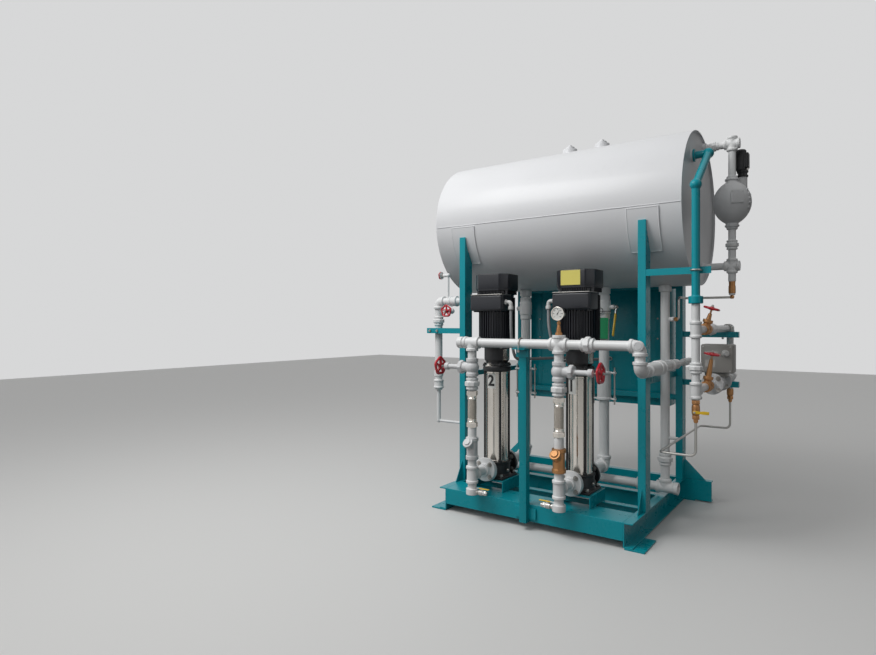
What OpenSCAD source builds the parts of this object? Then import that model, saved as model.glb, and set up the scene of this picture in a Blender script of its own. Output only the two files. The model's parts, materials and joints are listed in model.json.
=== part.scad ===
// A packaged boiler feed-water unit: a horizontal receiver tank on a steel stand
// over two vertical multistage pumps, with pipework, level control and a panel.
// Millimetres. X runs along the tank, Y from front to back, Z up.
// The origin lies on the floor, midway between the four posts.

/* [Base frame] */
// Distance between the left and right posts, centre to centre
post_span_x = 1350; // [1300:10:1400]
// Distance between the front and back posts, centre to centre
post_span_y = 950; // [920:10:980]
// Post width along the tank
post_w = 51; // [40:1:60]
// Post depth from front to back
post_d = 102; // [76:1:110]
// Height of the post tops above the deck
post_h = 1848; // [1800:2:1880]
// Depth of the base beams
beam_h = 152; // [127:1:178]
// Thickness of the beams' webs and flanges
beam_t = 8; // [5:1:12]
// How far the base runs out in front of the front posts' centres
front_reach = 315; // [300:5:340]
// Depth of the front fascia
fascia_h = 112; // [90:1:125]
// Width of the deck strip behind the fascia
deck_w = 220; // [200:5:240]
// Thickness of the deck, gussets and other formed plates
plate_t = 6; // [4:1:8]
// How far the back beam runs out past each post's centre
back_overhang = 215; // [160:5:260]
// Thickness of the foot plates
foot_t = 10; // [6:1:16]
// Diameter of the anchor holes in the foot plates
anchor_d = 18; // [12:1:22]

/* [Tank] */
// Outside diameter of the tank
tank_d = 1040; // [1020:2:1050]
// Length of the tank
tank_l = 1834; // [1800:2:1870]
// Thickness of the tank's shell and heads
tank_t = 6; // [4:0.5:8]
// Height of the tank's axis above the deck
tank_h = 1970; // [1950:2:1990]
// How far the tank's middle lies to the left of the stand's
tank_shift = 6; // [0:1:20]
// How far each head sits inside the end of the shell
head_inset = 12; // [8:1:20]
// Width of the doubler pads at the posts
pad_w = 200; // [160:5:240]
// Angle of the tank's wall that a doubler pad covers
pad_angle = 32; // [28:1:36]
// Angle below mid-height at which a doubler pad starts
pad_start = 5; // [0:1:8]

/* [Pumps] */
// Distance of pump 1's axis to the right of the middle
pump_1_x = 265; // [250:5:280]
// Distance of pump 2's axis to the left of the middle
pump_2_x = 373; // [360:5:385]
// Distance of the pump axes behind the fascia
pump_setback = 267; // [260:1:275]
// Height of the pedestals under the pumps
ped_h = 77; // [60:1:90]
// Width of a pedestal
ped_w = 250; // [230:2:260]
// Height of the pumps' ports above the pedestals
port_h = 78; // [74:1:90]
// Distance from a pump's axis to its flange faces
port_reach = 160; // [150:1:170]
// Diameter of the pumps' flanges
flange_d = 165; // [150:1:170]
// Diameter of the stainless sleeve
sleeve_d = 160; // [140:1:168]
// Height of the sleeve's top above the pedestal
sleeve_h = 770; // [740:5:800]
// Diameter of the finned motor barrel
motor_d = 242; // [230:2:248]
// Height of the motor's foot above the pedestal
motor_foot_h = 955; // [940:5:975]
// Height of the motor's top above the pedestal
motor_top_h = 1470; // [1440:5:1500]

/* [Pipe sizes] */
// Outside diameter of the discharge pipes
disc_d = 60.3; // [57:0.1:63]
// Outside diameter of the suction pipes
suct_d = 73; // [70:0.1:76]
// Outside diameter of the overflow pipe
over_d = 60.3; // [57:0.1:63]
// Outside diameter of the vent riser, make-up and level pipes
make_d = 48.3; // [44:0.1:50]
// Outside diameter of the small drain pipes
small_d = 21.3; // [18:0.1:24]
// Outside diameter of the bent tubes
tube_d = 15.9; // [12:0.1:18]

/* [Pipe routes] */
// How far in front of the fascia the discharge risers stand
riser_out = 75; // [70:1:85]
// Height of the discharge header above the deck
header_h = 1060; // [1050:2:1080]
// Distance of the outlet run below the header
outlet_drop = 148; // [140:1:170]
// Distance of the outlet run to the right of the right-hand posts' centres
outlet_gap = 91; // [88:1:110]
// Distance of the discharge valves below the header
disc_valve_drop = 170; // [150:1:190]
// Height of a discharge valve's body
disc_valve_l = 124; // [116:2:136]
// Length of a flexible connector
flex_l = 250; // [220:5:260]
// Height of a check valve
check_l = 150; // [140:2:160]
// Distance of the suction pipes' axes in front of the middle
suct_y = 60; // [40:1:70]
// Height of the suction valves above the deck
suct_valve_h = 1310; // [1290:5:1330]
// Distance of the level pipes from the middle of the tank's end, towards the back
level_y = 138; // [130:1:150]
// Distance of the level column out from the tank's head
level_out = 188; // [184:1:200]
// Height of the float chamber's middle above the deck
float_h = 2013; // [2000:1:2030]
// Width of the float chamber
float_d = 240; // [220:2:244]
// Height of the float chamber
float_l = 330; // [320:2:340]
// Distance of the vent riser and make-up pipes out from the tank's head
make_out = 101; // [96:1:110]
// Height of the upper make-up run above the deck
make_up_h = 1154; // [1140:1:1170]
// Height of the lower make-up run above the deck
make_low_h = 790; // [780:1:800]
// Distance of the upper make-up valve behind the column
up_valve_y = 267; // [250:1:280]
// Distance of the lower make-up valve behind the column
low_valve_y = 313; // [290:1:330]
// Height of the left line's top run above the deck
left_top_h = 1367; // [1350:1:1380]
// Distance of the left line out from the left-hand posts' centres
left_out = 313; // [300:1:330]

/* [Handwheels and levers] */
// Diameter of the handwheels on the discharge valves
wheel_d = 138; // [120:2:150]
// Diameter of the handwheels on the make-up valves
small_wheel_d = 104; // [90:2:110]
// Height of the upper make-up valve's handwheel along its stem
up_stem = 137; // [130:1:150]
// Height of the lower make-up valve's handwheel along its stem
low_stem = 208; // [190:1:220]
// Lean of the upper make-up valve's stem to the right
up_lean = 16.6; // [0:0.2:20]
// Lean of the lower make-up valve's stem to the right
low_lean = 9; // [0:0.5:20]
// Length of the levers on the suction valves
lever_l = 225; // [200:5:240]
// Running clearance between a stem and the hub on it
run_gap = 0.05; // [0.02:0.01:0.1]

/* [Panel] */
// Width of the control panel
panel_w = 1200; // [1160:10:1220]
// Depth of the control panel
panel_d = 300; // [250:5:320]
// Height of the control panel
panel_h = 1020; // [980:10:1030]
// Height of the panel's underside above the deck
panel_foot = 540; // [520:5:560]

/* [Hidden] */

$fn = 64;
seat = 0.3;
teal = "#19828c";
tank_grey = "#c8cbce";
pipe_grey = "#b9bbbc";
bronze = "#be8c5a";
steel = "#c9c8c4";
black = "#1e222a";
red = "#c8142d";
yellow = "#f0c832";

// Unit directions
px = [1, 0, 0];
py = [0, 1, 0];
pz = [0, 0, 1];

// Levels and faces of the stand
deck_z = foot_t + beam_h;
post_x = post_span_x / 2;
post_y = post_span_y / 2;
front_y = -post_y - front_reach;
web_x = post_x - post_w / 2;
back_web_y = post_y + 25;
beam_w = post_w + beam_t;
back_w = 55;
rail_h = 76;
mid_h = 130;
mid_w = 60;
anchor_x = post_x + 55;
anchor_y = back_web_y + back_w + 30;
tie_z = deck_z + 830;
tie_w = 44;
panel_y0 = post_y + post_d / 2 + seat;
tank_z = deck_z + tank_h;
tank_r = tank_d / 2;
tank_x0 = -tank_shift - tank_l / 2;
tank_x1 = -tank_shift + tank_l / 2;
head_x = tank_x1 - head_inset;
plug_x = -25;
plug_pitch = 253;
plug_d = 108;

// Levels and places of the pumps
pump_y = front_y + pump_setback;
pump_z = deck_z + ped_h;
port_z = pump_z + port_h;
riser_y = front_y - riser_out;
header_z = deck_z + header_h;
outlet_x = post_x + outlet_gap;
outlet_z = header_z - outlet_drop;
disc_valve_z = header_z - disc_valve_drop;
ped_front_y = pump_y - 137;
ped_d = 274;
cover_h = 148;
neck_h = 36;
neck_in = 14;
drive_w = 264;
drive_h = 118;
conduit_d = 24;
pump_xs = [pump_1_x, -pump_2_x];

// Levels of the discharge risers, from the valves down
valve_half = disc_valve_l / 2;
union_room = 98;
nipple_room = 70;
flex_z1 = disc_valve_z - valve_half - union_room;
flex_z0 = flex_z1 - flex_l;
check_z1 = flex_z0 - nipple_room;
check_z0 = check_z1 - check_l;
wheel_out = 268;
bore_l = 60;
pipe_t = 3.7;

// Stations along the outlet run
outlet_d = 33.4;
outlet_socket_d = 53;
outlet_union_1_y = -585;
outlet_coupling_y = -310;
outlet_union_2_y = -120;
outlet_socket_y = 236;
outlet_y1 = 356;

// Suction valves, expansion joints, overflow pipe and bottom header
suct_valve_z = deck_z + suct_valve_h;
joint_z0 = deck_z + 640;
joint_z1 = deck_z + 830;
lever_x = 88;
lever_turn = 20;
rod_x = 78;
over_x = post_x + 20;
over_y = -50;
low_z = deck_z + 55;
side_z = deck_z + 1220;

// Level column, float chamber and make-up pipes
level_x = head_x + level_out;
make_x = head_x + make_out;
level_top_z = deck_z + 2415;
level_low_z = deck_z + 1583;
float_z = deck_z + float_h;
make_y = -post_y - 75;
make_up_z = deck_z + make_up_h;
make_low_z = deck_z + make_low_h;
make_far_y = 600;
column_z = make_low_z - 55;
inlet_l = 150;
makeup_half = 58;
control_y0 = -75;
control_y1 = 250;
control_d = 140;
box_z0 = deck_z + 855;
box_w = 200;
box_h = 195;
box_d = 140;
level_drain_z = deck_z + 1480;
switch_out = 125;
switch_rise = 140;
switch_dir = [0.38, 0.925, 0];

// Vent riser, drain tubes and the line on the left
vent_y = -190;
vent_z = deck_z + 2290;
vent_low_z = deck_z + 2020;
vent_cap_z = deck_z + 1310;
drain_x = post_x + 107;
drain_z = deck_z + 400;
lever_z = column_z - 70;
lever_pin_d = 10;
left_x = -post_x - left_out;
left_y = -post_y + post_d / 2 + disc_d / 2 + seat;
left_turn_x = -588;
left_rise_y = -200;
left_top_z = deck_z + left_top_h;
left_arm_z = deck_z + 1112;
left_foot_z = left_top_z - 713;
left_drain_z = left_top_z - 962;
left_valve_x = left_x + 127;
left_wheel_z = left_top_z - 78;
left_stem = 78;
cock_x = left_x + 105;
cock_y = left_y - 16;
cock_z = left_top_z + 208;
stem_d = 12;

// Proportions of threaded fittings for a pipe of outside diameter d
function reach(d) = round(10 * (0.75 * d + 13)) / 10;
function body_d(d) = 1.12 * d + 6;
function band_d(d) = 1.24 * d + 9;
function band_w(d) = 0.2 * d + 6;

// Places children with their X along a and their Y along b
module place(p, a, b) {
    c = cross(a, b);
    multmatrix([
        [a[0], b[0], c[0], p[0]],
        [a[1], b[1], c[1], p[1]],
        [a[2], b[2], c[2], p[2]],
        [0, 0, 0, 1]
    ]) children();
}

// A round bar from a to b
module bar(a, b, d) {
    v = b - a;
    translate(a)
        rotate([0, acos(v[2] / norm(v)), atan2(v[1], v[0])])
            cylinder(h = norm(v), d = d);
}

// A band, coupling or nut of width w around the line through p
module ring(p, dir, d, w) {
    bar(p - dir * w / 2, p + dir * w / 2, d);
}

// A hexagonal or eight-sided nut
module nut(p, dir, d, w, sides = 8) {
    translate(p - dir * w / 2)
        rotate([0, acos(dir[2]), atan2(dir[1], dir[0])])
            cylinder(h = w, d = d, $fn = sides);
}

// A tee, cross or cap: one leg and one band in each listed direction
module fitting(p, dirs, d) {
    translate(p) sphere(d = body_d(d));
    for (dir = dirs) {
        bar(p, p + dir * reach(d), body_d(d));
        bar(p + dir * (reach(d) - band_w(d)), p + dir * reach(d), band_d(d));
    }
}

// A round elbow with its corner at p and its two legs along a and b
module elbow(p, a, b, d) {
    r = body_d(d) / 2 + 1;
    place(p, a, b)
        translate([r, r, 0])
            rotate(180)
                rotate_extrude(angle = 90)
                    translate([r, 0]) circle(d = body_d(d));
    for (dir = [a, b]) {
        bar(p + dir * r, p + dir * reach(d), body_d(d));
        bar(p + dir * (reach(d) - band_w(d)), p + dir * reach(d), band_d(d));
    }
}

// A union: two collars and an eight-sided nut
module union_joint(p, dir, d) {
    ring(p, dir, body_d(d) + 4, 1.3 * d);
    nut(p, dir, 1.62 * d + 6, 0.5 * d);
    ring(p + dir * 0.55 * d, dir, band_d(d), 0.2 * d);
    ring(p - dir * 0.55 * d, dir, band_d(d), 0.2 * d);
}

// A coupling with a bead at each end
module coupling(p, dir, d) {
    ring(p, dir, body_d(d) + 2, 1.1 * d);
    ring(p + dir * 0.45 * d, dir, band_d(d), 0.2 * d);
    ring(p - dir * 0.45 * d, dir, band_d(d), 0.2 * d);
}

// A channel along X: its web stands on Y = 0 and its flanges point to +Y
module channel(l, h, w, t) {
    rotate([90, 0, 90])
        linear_extrude(l)
            polygon([[0, 0], [w, 0], [w, t], [t, t], [t, h - t], [w, h - t], [w, h], [0, h]]);
}

// An angle along X, with one leg down the Z axis and one along +Y at the top
module angle(l, w, h, t) {
    rotate([90, 0, 90])
        linear_extrude(l)
            polygon([[0, 0], [w, 0], [w, -t], [t, -t], [t, -h], [0, -h]]);
}

// The tank's outer surface, let out by a gap, for seats cut to it
module tank_round(gap) {
    bar([tank_x0 - 50, 0, tank_z], [tank_x1 + 50, 0, tank_z], tank_d + 2 * gap);
}

// A U-bolt around a pipe that runs along a, with its legs towards down
module u_bolt(p, a, down, d, leg) {
    rod = 9;
    r = d / 2 + rod / 2 + seat;
    side = cross(a, down);
    place(p, side, -down)
        rotate_extrude(angle = 180)
            translate([r, 0]) circle(d = rod, $fn = 24);
    for (s = [-1, 1])
        bar(p + side * s * r, p + side * s * r + down * leg, rod);
}

module side_beams() {
    l = back_web_y - front_y;
    color(teal) {
        place([-web_x + beam_t, front_y, foot_t], py, -px) channel(l, beam_h, beam_w, beam_t);
        place([web_x - beam_t, front_y, deck_z], py, px) channel(l, beam_h, beam_w, beam_t);
    }
}

inner_x = web_x - beam_t;
module front_deck() {
    color(teal) {
        translate([-inner_x, front_y, deck_z - plate_t]) cube([2 * inner_x, deck_w, plate_t]);
        translate([-inner_x, front_y, deck_z - fascia_h]) cube([2 * inner_x, plate_t, fascia_h]);
    }
}

// The rail under the back of the pumps, and the beam under the bottom header
module cross_beams() {
    rail_y = ped_front_y + ped_d - 20;
    saddle_h = low_z - disc_d / 2 - deck_z;
    color(teal) {
        translate([0, rail_y, deck_z - rail_h])
            mirror([0, 1, 0]) translate([-inner_x, 0, 0]) channel(2 * inner_x, rail_h, 50, plate_t);
        translate([0, over_y + mid_w / 2, deck_z - mid_h])
            mirror([0, 1, 0]) translate([-inner_x, 0, 0]) channel(2 * inner_x, mid_h, mid_w, beam_t);
        for (x = [-420, 80])
            translate([x - 20, over_y - 20, deck_z]) cube([40, 40, saddle_h]);
    }
}

module back_beam() {
    half = post_x + back_overhang;
    color(teal)
        translate([-half, back_web_y, foot_t]) channel(2 * half, beam_h, back_w, beam_t);
}

// A foot plate that reaches out past the beams to its anchor hole
module foot_plate(y0, y1, hole_y) {
    difference() {
        translate([web_x, y0, 0]) cube([anchor_x + 40 - web_x, y1 - y0, foot_t]);
        translate([anchor_x, hole_y, -1]) cylinder(h = foot_t + 2, d = anchor_d);
    }
}

module foot_plates() {
    color(teal)
        for (side = [0, 1]) mirror([side, 0, 0]) {
            foot_plate(front_y, -anchor_y + 40, -anchor_y);
            foot_plate(back_web_y, anchor_y + 40, anchor_y);
        }
}

// A post with its top cut to the tank and a gusset on its foot
module post(side_x, side_y) {
    gusset_h = 150;
    gusset_l = 90;
    difference() {
        translate([side_x * post_x - post_w / 2, side_y * post_y - post_d / 2, deck_z])
            cube([post_w, post_d, post_h]);
        tank_round(plate_t + seat);
    }
    if (side_y < 0)
        translate([side_x * post_x - plate_t / 2, -post_y - post_d / 2, deck_z])
            rotate([90, 0, 90]) linear_extrude(plate_t)
                polygon([[0, 0], [-gusset_l, 0], [0, gusset_h]]);
    else
        mirror([side_x < 0 ? 1 : 0, 0, 0])
            translate([post_x + post_w / 2, back_web_y + 13, deck_z])
                rotate([90, 0, 0]) linear_extrude(plate_t)
                    polygon([[0, 0], [gusset_l + 60, 0], [0, gusset_h]]);
}

module post_front_left() {
    color(teal) post(-1, -1);
}

module post_front_right() {
    color(teal) post(1, -1);
}

module post_back_left() {
    color(teal) post(-1, 1);
}

module post_back_right() {
    color(teal) post(1, 1);
}

module end_ties() {
    l = 2 * post_y - post_d;
    color(teal)
        for (side = [0, 1]) mirror([side, 0, 0])
            place([web_x + plate_t, -l / 2, tie_z], py, -px) angle(l, tie_w, tie_w, plate_t);
}

module pipe_support_post() {
    top_z = header_z - disc_d / 2;
    foot_z = deck_z - fascia_h;
    color(teal) {
        translate([-post_w / 2, front_y - post_w, foot_z])
            cube([post_w, post_w, top_z - plate_t - foot_z]);
        translate([-45, riser_y - 40, top_z - plate_t]) cube([90, riser_out + 40, plate_t]);
        translate([-45, front_y - post_w - plate_t, top_z - 58]) cube([90, plate_t, 58]);
        translate([-75, front_y - 14, foot_z + 20]) cube([150, 14, 70]);
    }
    color(steel)
        u_bolt([0, riser_y, header_z], px, -pz, disc_d, disc_d / 2 + 25);
}

module pump_pedestals() {
    color(teal)
        for (x = pump_xs)
            translate([x - ped_w / 2, ped_front_y, deck_z])
                difference() {
                    cube([ped_w, ped_d, ped_h]);
                    translate([beam_t, -1, -1])
                        cube([ped_w - 2 * beam_t, ped_d + 2, ped_h - beam_t + 1]);
                }
}

module tank_shell() {
    color(tank_grey)
        difference() {
            bar([tank_x0, 0, tank_z], [tank_x1, 0, tank_z], tank_d);
            bar([tank_x0 - 1, 0, tank_z], [tank_x1 + 1, 0, tank_z], tank_d - 2 * tank_t);
        }
}

module tank_head(x) {
    color(tank_grey)
        bar([x, 0, tank_z], [x + tank_t, 0, tank_z], tank_d - 2 * tank_t);
}

module tank_head_left() {
    tank_head(tank_x0 + head_inset);
}

module tank_head_right() {
    tank_head(head_x - tank_t);
}

// A curved pad on the tank's wall, from mid-height downwards
module saddle_pad(x, side) {
    translate([x - pad_w / 2, 0, tank_z])
        rotate([90, 0, 90])
            rotate(side < 0 ? 180 + pad_start : -pad_start - pad_angle)
                rotate_extrude(angle = pad_angle)
                    translate([tank_r, 0]) square([plate_t, pad_w]);
}

module saddle_pads() {
    color(tank_grey)
        for (sx = [-1, 1], sy = [-1, 1]) saddle_pad(sx * post_x, sy);
}

// Two capped couplings along the top of the tank
module tank_plugs() {
    top = tank_z + tank_r;
    color(tank_grey)
        for (x = [plug_x, plug_x + plug_pitch])
            difference() {
                union() {
                    translate([x, 0, top - 20]) cylinder(h = 60, d = plug_d);
                    translate([x, 0, top + 40]) cylinder(h = 18, d = plug_d * 0.62);
                    translate([x, 0, top + 58]) cylinder(h = 14, d = plug_d * 0.32, $fn = 6);
                }
                tank_round(0);
            }
}

// A round flange with its face at p and its hub behind it, away from dir
module flange(p, dir, d, bore_d) {
    bar(p - dir * 20, p, d);
    bar(p - dir * 42, p, bore_d + 26);
}

// The base, casing, sleeve and stays of one pump
module pump_casing(x) {
    base_w = 216;
    stool_z = pump_z + sleeve_h + 40;
    stool_h = pump_z + motor_foot_h - stool_z;
    color(black)
        translate([x - base_w / 2, pump_y - 112, pump_z]) cube([base_w, 224, 24]);
    color(steel) {
        translate([x, pump_y, pump_z + 24]) cylinder(h = port_h + 40, d = sleeve_d + 24);
        translate([x, pump_y, pump_z + 24]) cylinder(h = sleeve_h - 24, d = sleeve_d);
        bar([x, pump_y - port_reach, port_z], [x, pump_y + port_reach, port_z], disc_d + 20);
        flange([x, pump_y - port_reach, port_z], -py, flange_d, disc_d);
        flange([x, pump_y + port_reach, port_z], py, flange_d, disc_d);
    }
    color(black) {
        for (k = [0 : 3])
            translate([x, pump_y, 0]) rotate(45 + 90 * k)
                translate([sleeve_d / 2 + 10, 0, pump_z + 24]) cylinder(h = sleeve_h, d = 16);
        translate([x, pump_y, pump_z + sleeve_h]) cylinder(h = 40, d = sleeve_d + 44);
        difference() {
            translate([x, pump_y, stool_z]) cylinder(h = stool_h, d = sleeve_d + 24);
            translate([x - sleeve_d, pump_y - 42, stool_z + 20])
                cube([2 * sleeve_d, 84, stool_h - 40]);
        }
        translate([x, pump_y, stool_z]) cylinder(h = stool_h, d = 40);
    }
}

// The eight-sided outline of a motor's fan cover, drawn in by a distance
function cover_outline(inset) = let (w = 135 - inset, h = 125 - inset, c = 50) [
    [-w, c - h], [c - w, -h], [w - c, -h], [w, c - h],
    [w, h - c], [w - c, h], [c - w, h], [-w, h - c]
];

// The motor of one pump, with its fins, drive box and fan cover
module pump_motor(x) {
    foot_z = pump_z + motor_foot_h;
    top_z = pump_z + motor_top_h;
    fin_h = motor_top_h - motor_foot_h - cover_h - 22;
    color(black) {
        translate([x, pump_y, foot_z]) cylinder(h = 22, d = motor_d + 4);
        translate([x, pump_y, foot_z])
            cylinder(h = motor_top_h - motor_foot_h - 20, d = motor_d - 24);
        for (k = [0 : 23])
            translate([x, pump_y, foot_z + 22]) rotate(15 * k)
                translate([motor_d / 2 - 16, -2, 0]) cube([16, 4, fin_h]);
        translate([x - drive_w / 2, pump_y - 165, top_z - cover_h - drive_h])
            cube([drive_w, 150, drive_h]);
        translate([x, pump_y, top_z - cover_h]) linear_extrude(cover_h)
            polygon(cover_outline(neck_in));
        translate([x, pump_y, top_z - cover_h + neck_h]) linear_extrude(cover_h - neck_h)
            polygon(cover_outline(0));
    }
}

module pump_1_casing() {
    pump_casing(pump_1_x);
}

module pump_1_motor() {
    pump_motor(pump_1_x);
}

module pump_2_casing() {
    pump_casing(-pump_2_x);
}

module pump_2_motor() {
    pump_motor(-pump_2_x);
}

// Conduits from the drive boxes down behind the header and back to the panel
module motor_conduits() {
    z0 = pump_z + motor_top_h - cover_h - 50;
    z1 = header_z - 110;
    color(pipe_grey)
        for (side = [0, 1]) {
            x = side == 0 ? pump_1_x - drive_w / 2 : drive_w / 2 - pump_2_x;
            out = side == 0 ? -34 : 34;
            tube_run([
                [x, pump_y - 110, z0],
                [x + out, pump_y - 110, z0],
                [x + out, pump_y - 110, z1],
                [x + out, panel_y0, z1]
            ], conduit_d);
        }
}

module discharge_header() {
    d = disc_d;
    x0 = -pump_2_x - reach(d) - 50;
    color(pipe_grey) {
        bar([x0, riser_y, header_z], [outlet_x - reach(d), riser_y, header_z], d);
        fitting([-pump_2_x, riser_y, header_z], [px, -px, -pz], d);
        fitting([pump_1_x, riser_y, header_z], [px, -px, -pz, pz], d);
        bar([x0, riser_y, header_z], [x0 + 38, riser_y, header_z], body_d(d) + 6);
        union_joint([pump_1_x + 190, riser_y, header_z], px, d);
        elbow([outlet_x, riser_y, header_z], -px, -pz, d);
    }
}

// The outlet: an elbow under the header's end, then unions and reducers on a run to the back
module discharge_outlet() {
    d = disc_d;
    p = [outlet_x, riser_y, outlet_z];
    o = [outlet_x, 0, outlet_z];
    socket_bore = outlet_d + 0.6;
    color(pipe_grey) {
        elbow(p, pz, py, d);
        if (header_z - outlet_z > 2 * reach(d))
            bar(p + pz * reach(d), p + pz * (header_z - outlet_z - reach(d)), d);
        bar(p + py * reach(d), o + py * outlet_coupling_y, d);
        ring(o + py * outlet_union_1_y, py, body_d(d) + 12, 280);
        ring(o + py * (outlet_union_1_y + 72), py, 96, 36);
        ring(o + py * (outlet_union_1_y + 144), py, 96, 16);
        ring(o + py * (outlet_coupling_y - 50), py, body_d(d), 60);
        ring(o + py * outlet_coupling_y, py, body_d(d) - 4, 140);
        ring(o + py * (outlet_coupling_y + 70), py, band_d(d) - 4, 16);
        ring(o + py * outlet_union_2_y, py, outlet_socket_d + 8, 150);
        ring(o + py * (outlet_union_2_y - 56), py, band_d(d) - 10, 30);
        ring(o + py * (outlet_union_2_y + 68), py, outlet_socket_d + 16, 14);
        difference() {
            union() {
                bar(o + py * outlet_coupling_y, o + py * outlet_y1, outlet_d);
                bar(o + py * (outlet_socket_y - 80), o + py * outlet_y1, outlet_socket_d);
            }
            bar(o + py * (outlet_y1 - bore_l), o + py * (outlet_y1 + 1), socket_bore);
        }
    }
}

// The pipe and fittings of one discharge riser, below, between and above its valves
module discharge_riser(x, side) {
    d = disc_d;
    drain_z = deck_z + 40;
    tap = [x, riser_y, drain_z];
    color(pipe_grey) {
        fitting([x, riser_y, port_z], [pz, -pz, py], d);
        bar([x, riser_y, port_z], [x, riser_y, check_z0], d);
        bar([x, riser_y + reach(d), port_z], [x, pump_y - port_reach, port_z], d);
        flange([x, pump_y - port_reach, port_z], py, flange_d, d);
        bar([x, riser_y, drain_z - 20], [x, riser_y, port_z], d);
        ring([x, riser_y, drain_z], pz, band_d(d), 40);
        bar([x, riser_y, check_z1], [x, riser_y, flex_z0], d);
        bar([x, riser_y, flex_z1], [x, riser_y, disc_valve_z - valve_half], d);
        union_joint([x, riser_y, flex_z1 + 48], pz, d);
        bar([x, riser_y, disc_valve_z + valve_half], [x, riser_y, header_z - reach(d)], d);
    }
    color(steel) {
        bar(tap + px * side * 110, tap, small_d);
        nut(tap + px * side * 80, px, 34, 40, 6);
        bar(tap + px * side * 80, tap + px * side * 80 + pz * 26, 12);
    }
    color(yellow)
        translate(tap + [side * 60 - 26, -6, 26]) cube([52, 12, 4]);
}

module discharge_risers() {
    discharge_riser(pump_1_x, -1);
    discharge_riser(-pump_2_x, 1);
}

// A check valve in a riser, with its capped branch leaning forward and up
module check_valve(x) {
    lean = [-0.05, -0.75, 0.66];
    p = [x, riser_y, (check_z0 + check_z1) / 2];
    bar([x, riser_y, check_z0], [x, riser_y, check_z1], body_d(disc_d) + 2);
    ring([x, riser_y, check_z0 + 12], pz, band_d(disc_d) + 4, 24);
    ring([x, riser_y, check_z1 - 12], pz, band_d(disc_d) + 4, 24);
    bar(p, p + lean * 62, 58);
    bar(p + lean * 54, p + lean * 74, 72);
    bar(p + lean * 54, p + lean * 84, 46);
}

module check_valve_1() {
    color(bronze) check_valve(pump_1_x);
}

module check_valve_2() {
    color(pipe_grey) check_valve(-pump_2_x);
}

module flex_connectors() {
    color(steel)
        for (x = pump_xs) {
            bar([x, riser_y, flex_z0], [x, riser_y, flex_z1], disc_d + 6);
            nut([x, riser_y, flex_z0 + 18], pz, disc_d + 18, 36, 6);
            nut([x, riser_y, flex_z1 - 18], pz, disc_d + 18, 36, 6);
        }
}

// A globe valve in a riser, with its bonnet and stem along dir
module discharge_valve(x, dir) {
    p = [x, riser_y, disc_valve_z];
    bar(p - pz * valve_half, p + pz * valve_half, body_d(disc_d) + 2);
    translate(p) sphere(d = disc_d + 34);
    ring(p - pz * (valve_half - 12), pz, band_d(disc_d), 24);
    ring(p + pz * (valve_half - 12), pz, band_d(disc_d), 24);
    bar(p, p + dir * 86, 66);
    nut(p + dir * 84, dir, 92, 28);
    bar(p, p + dir * 222, 34);
    ring(p + dir * 206, dir, 50, 32);
    bar(p, p + dir * (wheel_out + 18), stem_d);
}

module discharge_valves() {
    color(pipe_grey) {
        discharge_valve(pump_1_x, px);
        discharge_valve(-pump_2_x, -px);
    }
}

// A handwheel in the XY plane, centred on the origin, bored for its stem
module handwheel(d, rim_t, hub_w) {
    hole_d = stem_d + 2 * run_gap;
    rotate_extrude() translate([d / 2 - rim_t / 2, 0]) circle(d = rim_t, $fn = 24);
    difference() {
        union() {
            translate([0, 0, -hub_w / 2]) cylinder(h = hub_w, d = hole_d + 16);
            for (k = [0 : 4])
                rotate(72 * k)
                    translate([0, -rim_t / 3, -rim_t / 4])
                        cube([d / 2 - rim_t / 2, rim_t / 1.5, rim_t / 2]);
        }
        translate([0, 0, -hub_w]) cylinder(h = 2 * hub_w, d = hole_d);
    }
}

module handwheel_1() {
    color(red)
        place([pump_1_x + wheel_out, riser_y, disc_valve_z], py, pz)
            handwheel(wheel_d, 16, 26);
}

module handwheel_2() {
    color(red)
        place([-pump_2_x - wheel_out, riser_y, disc_valve_z], py, pz)
            handwheel(wheel_d, 16, 26);
}

// A suction pipe: tank coupling, valve body, expansion joint and pump elbow
module suction_line(x) {
    d = suct_d;
    top_z = tank_z - sqrt(tank_r * tank_r - suct_y * suct_y);
    p = [x, -suct_y, port_z];
    valve = [x, -suct_y, suct_valve_z];
    color(pipe_grey) {
        difference() {
            union() {
                bar(p + pz * reach(d), [x, -suct_y, top_z + 20], d);
                bar([x, -suct_y, top_z - 45], [x, -suct_y, top_z + 20], d + 18);
            }
            tank_round(0);
        }
        ring(valve, pz, d + 22, 96);
        ring(valve + pz * 66, pz, d + 12, 40);
        ring(valve - pz * 66, pz, d + 12, 40);
        bar([x, -suct_y, joint_z0], [x, -suct_y, joint_z1], d + 26);
        for (z = [joint_z0, joint_z1]) {
            ring([x, -suct_y, z], pz, d + 36, 18);
            translate([x - rod_x - 12, -suct_y - 16, z - 6]) cube([2 * rod_x + 24, 32, 12]);
        }
        for (s = [-1, 1])
            bar([x + s * rod_x, -suct_y, joint_z0 - 28],
                [x + s * rod_x, -suct_y, joint_z1 + 28], 10);
        elbow(p, pz, -py, d);
        bar(p - py * reach(d), [x, pump_y + port_reach, port_z], d);
        flange([x, pump_y + port_reach, port_z], -py, flange_d, d);
    }
}

module suction_lines() {
    suction_line(pump_1_x);
    suction_line(-pump_2_x);
    p = [pump_1_x, -suct_y, suct_valve_z];
    q = [-pump_2_x, -suct_y, suct_valve_z];
    color(pipe_grey) {
        bar(p, p + px * (suct_d / 2 + 41), 34);
        bar(q - px * (suct_d / 2 + 41), q, 34);
    }
    color(steel) bar(p, p + px * (lever_x + 16), stem_d);
}

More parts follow.
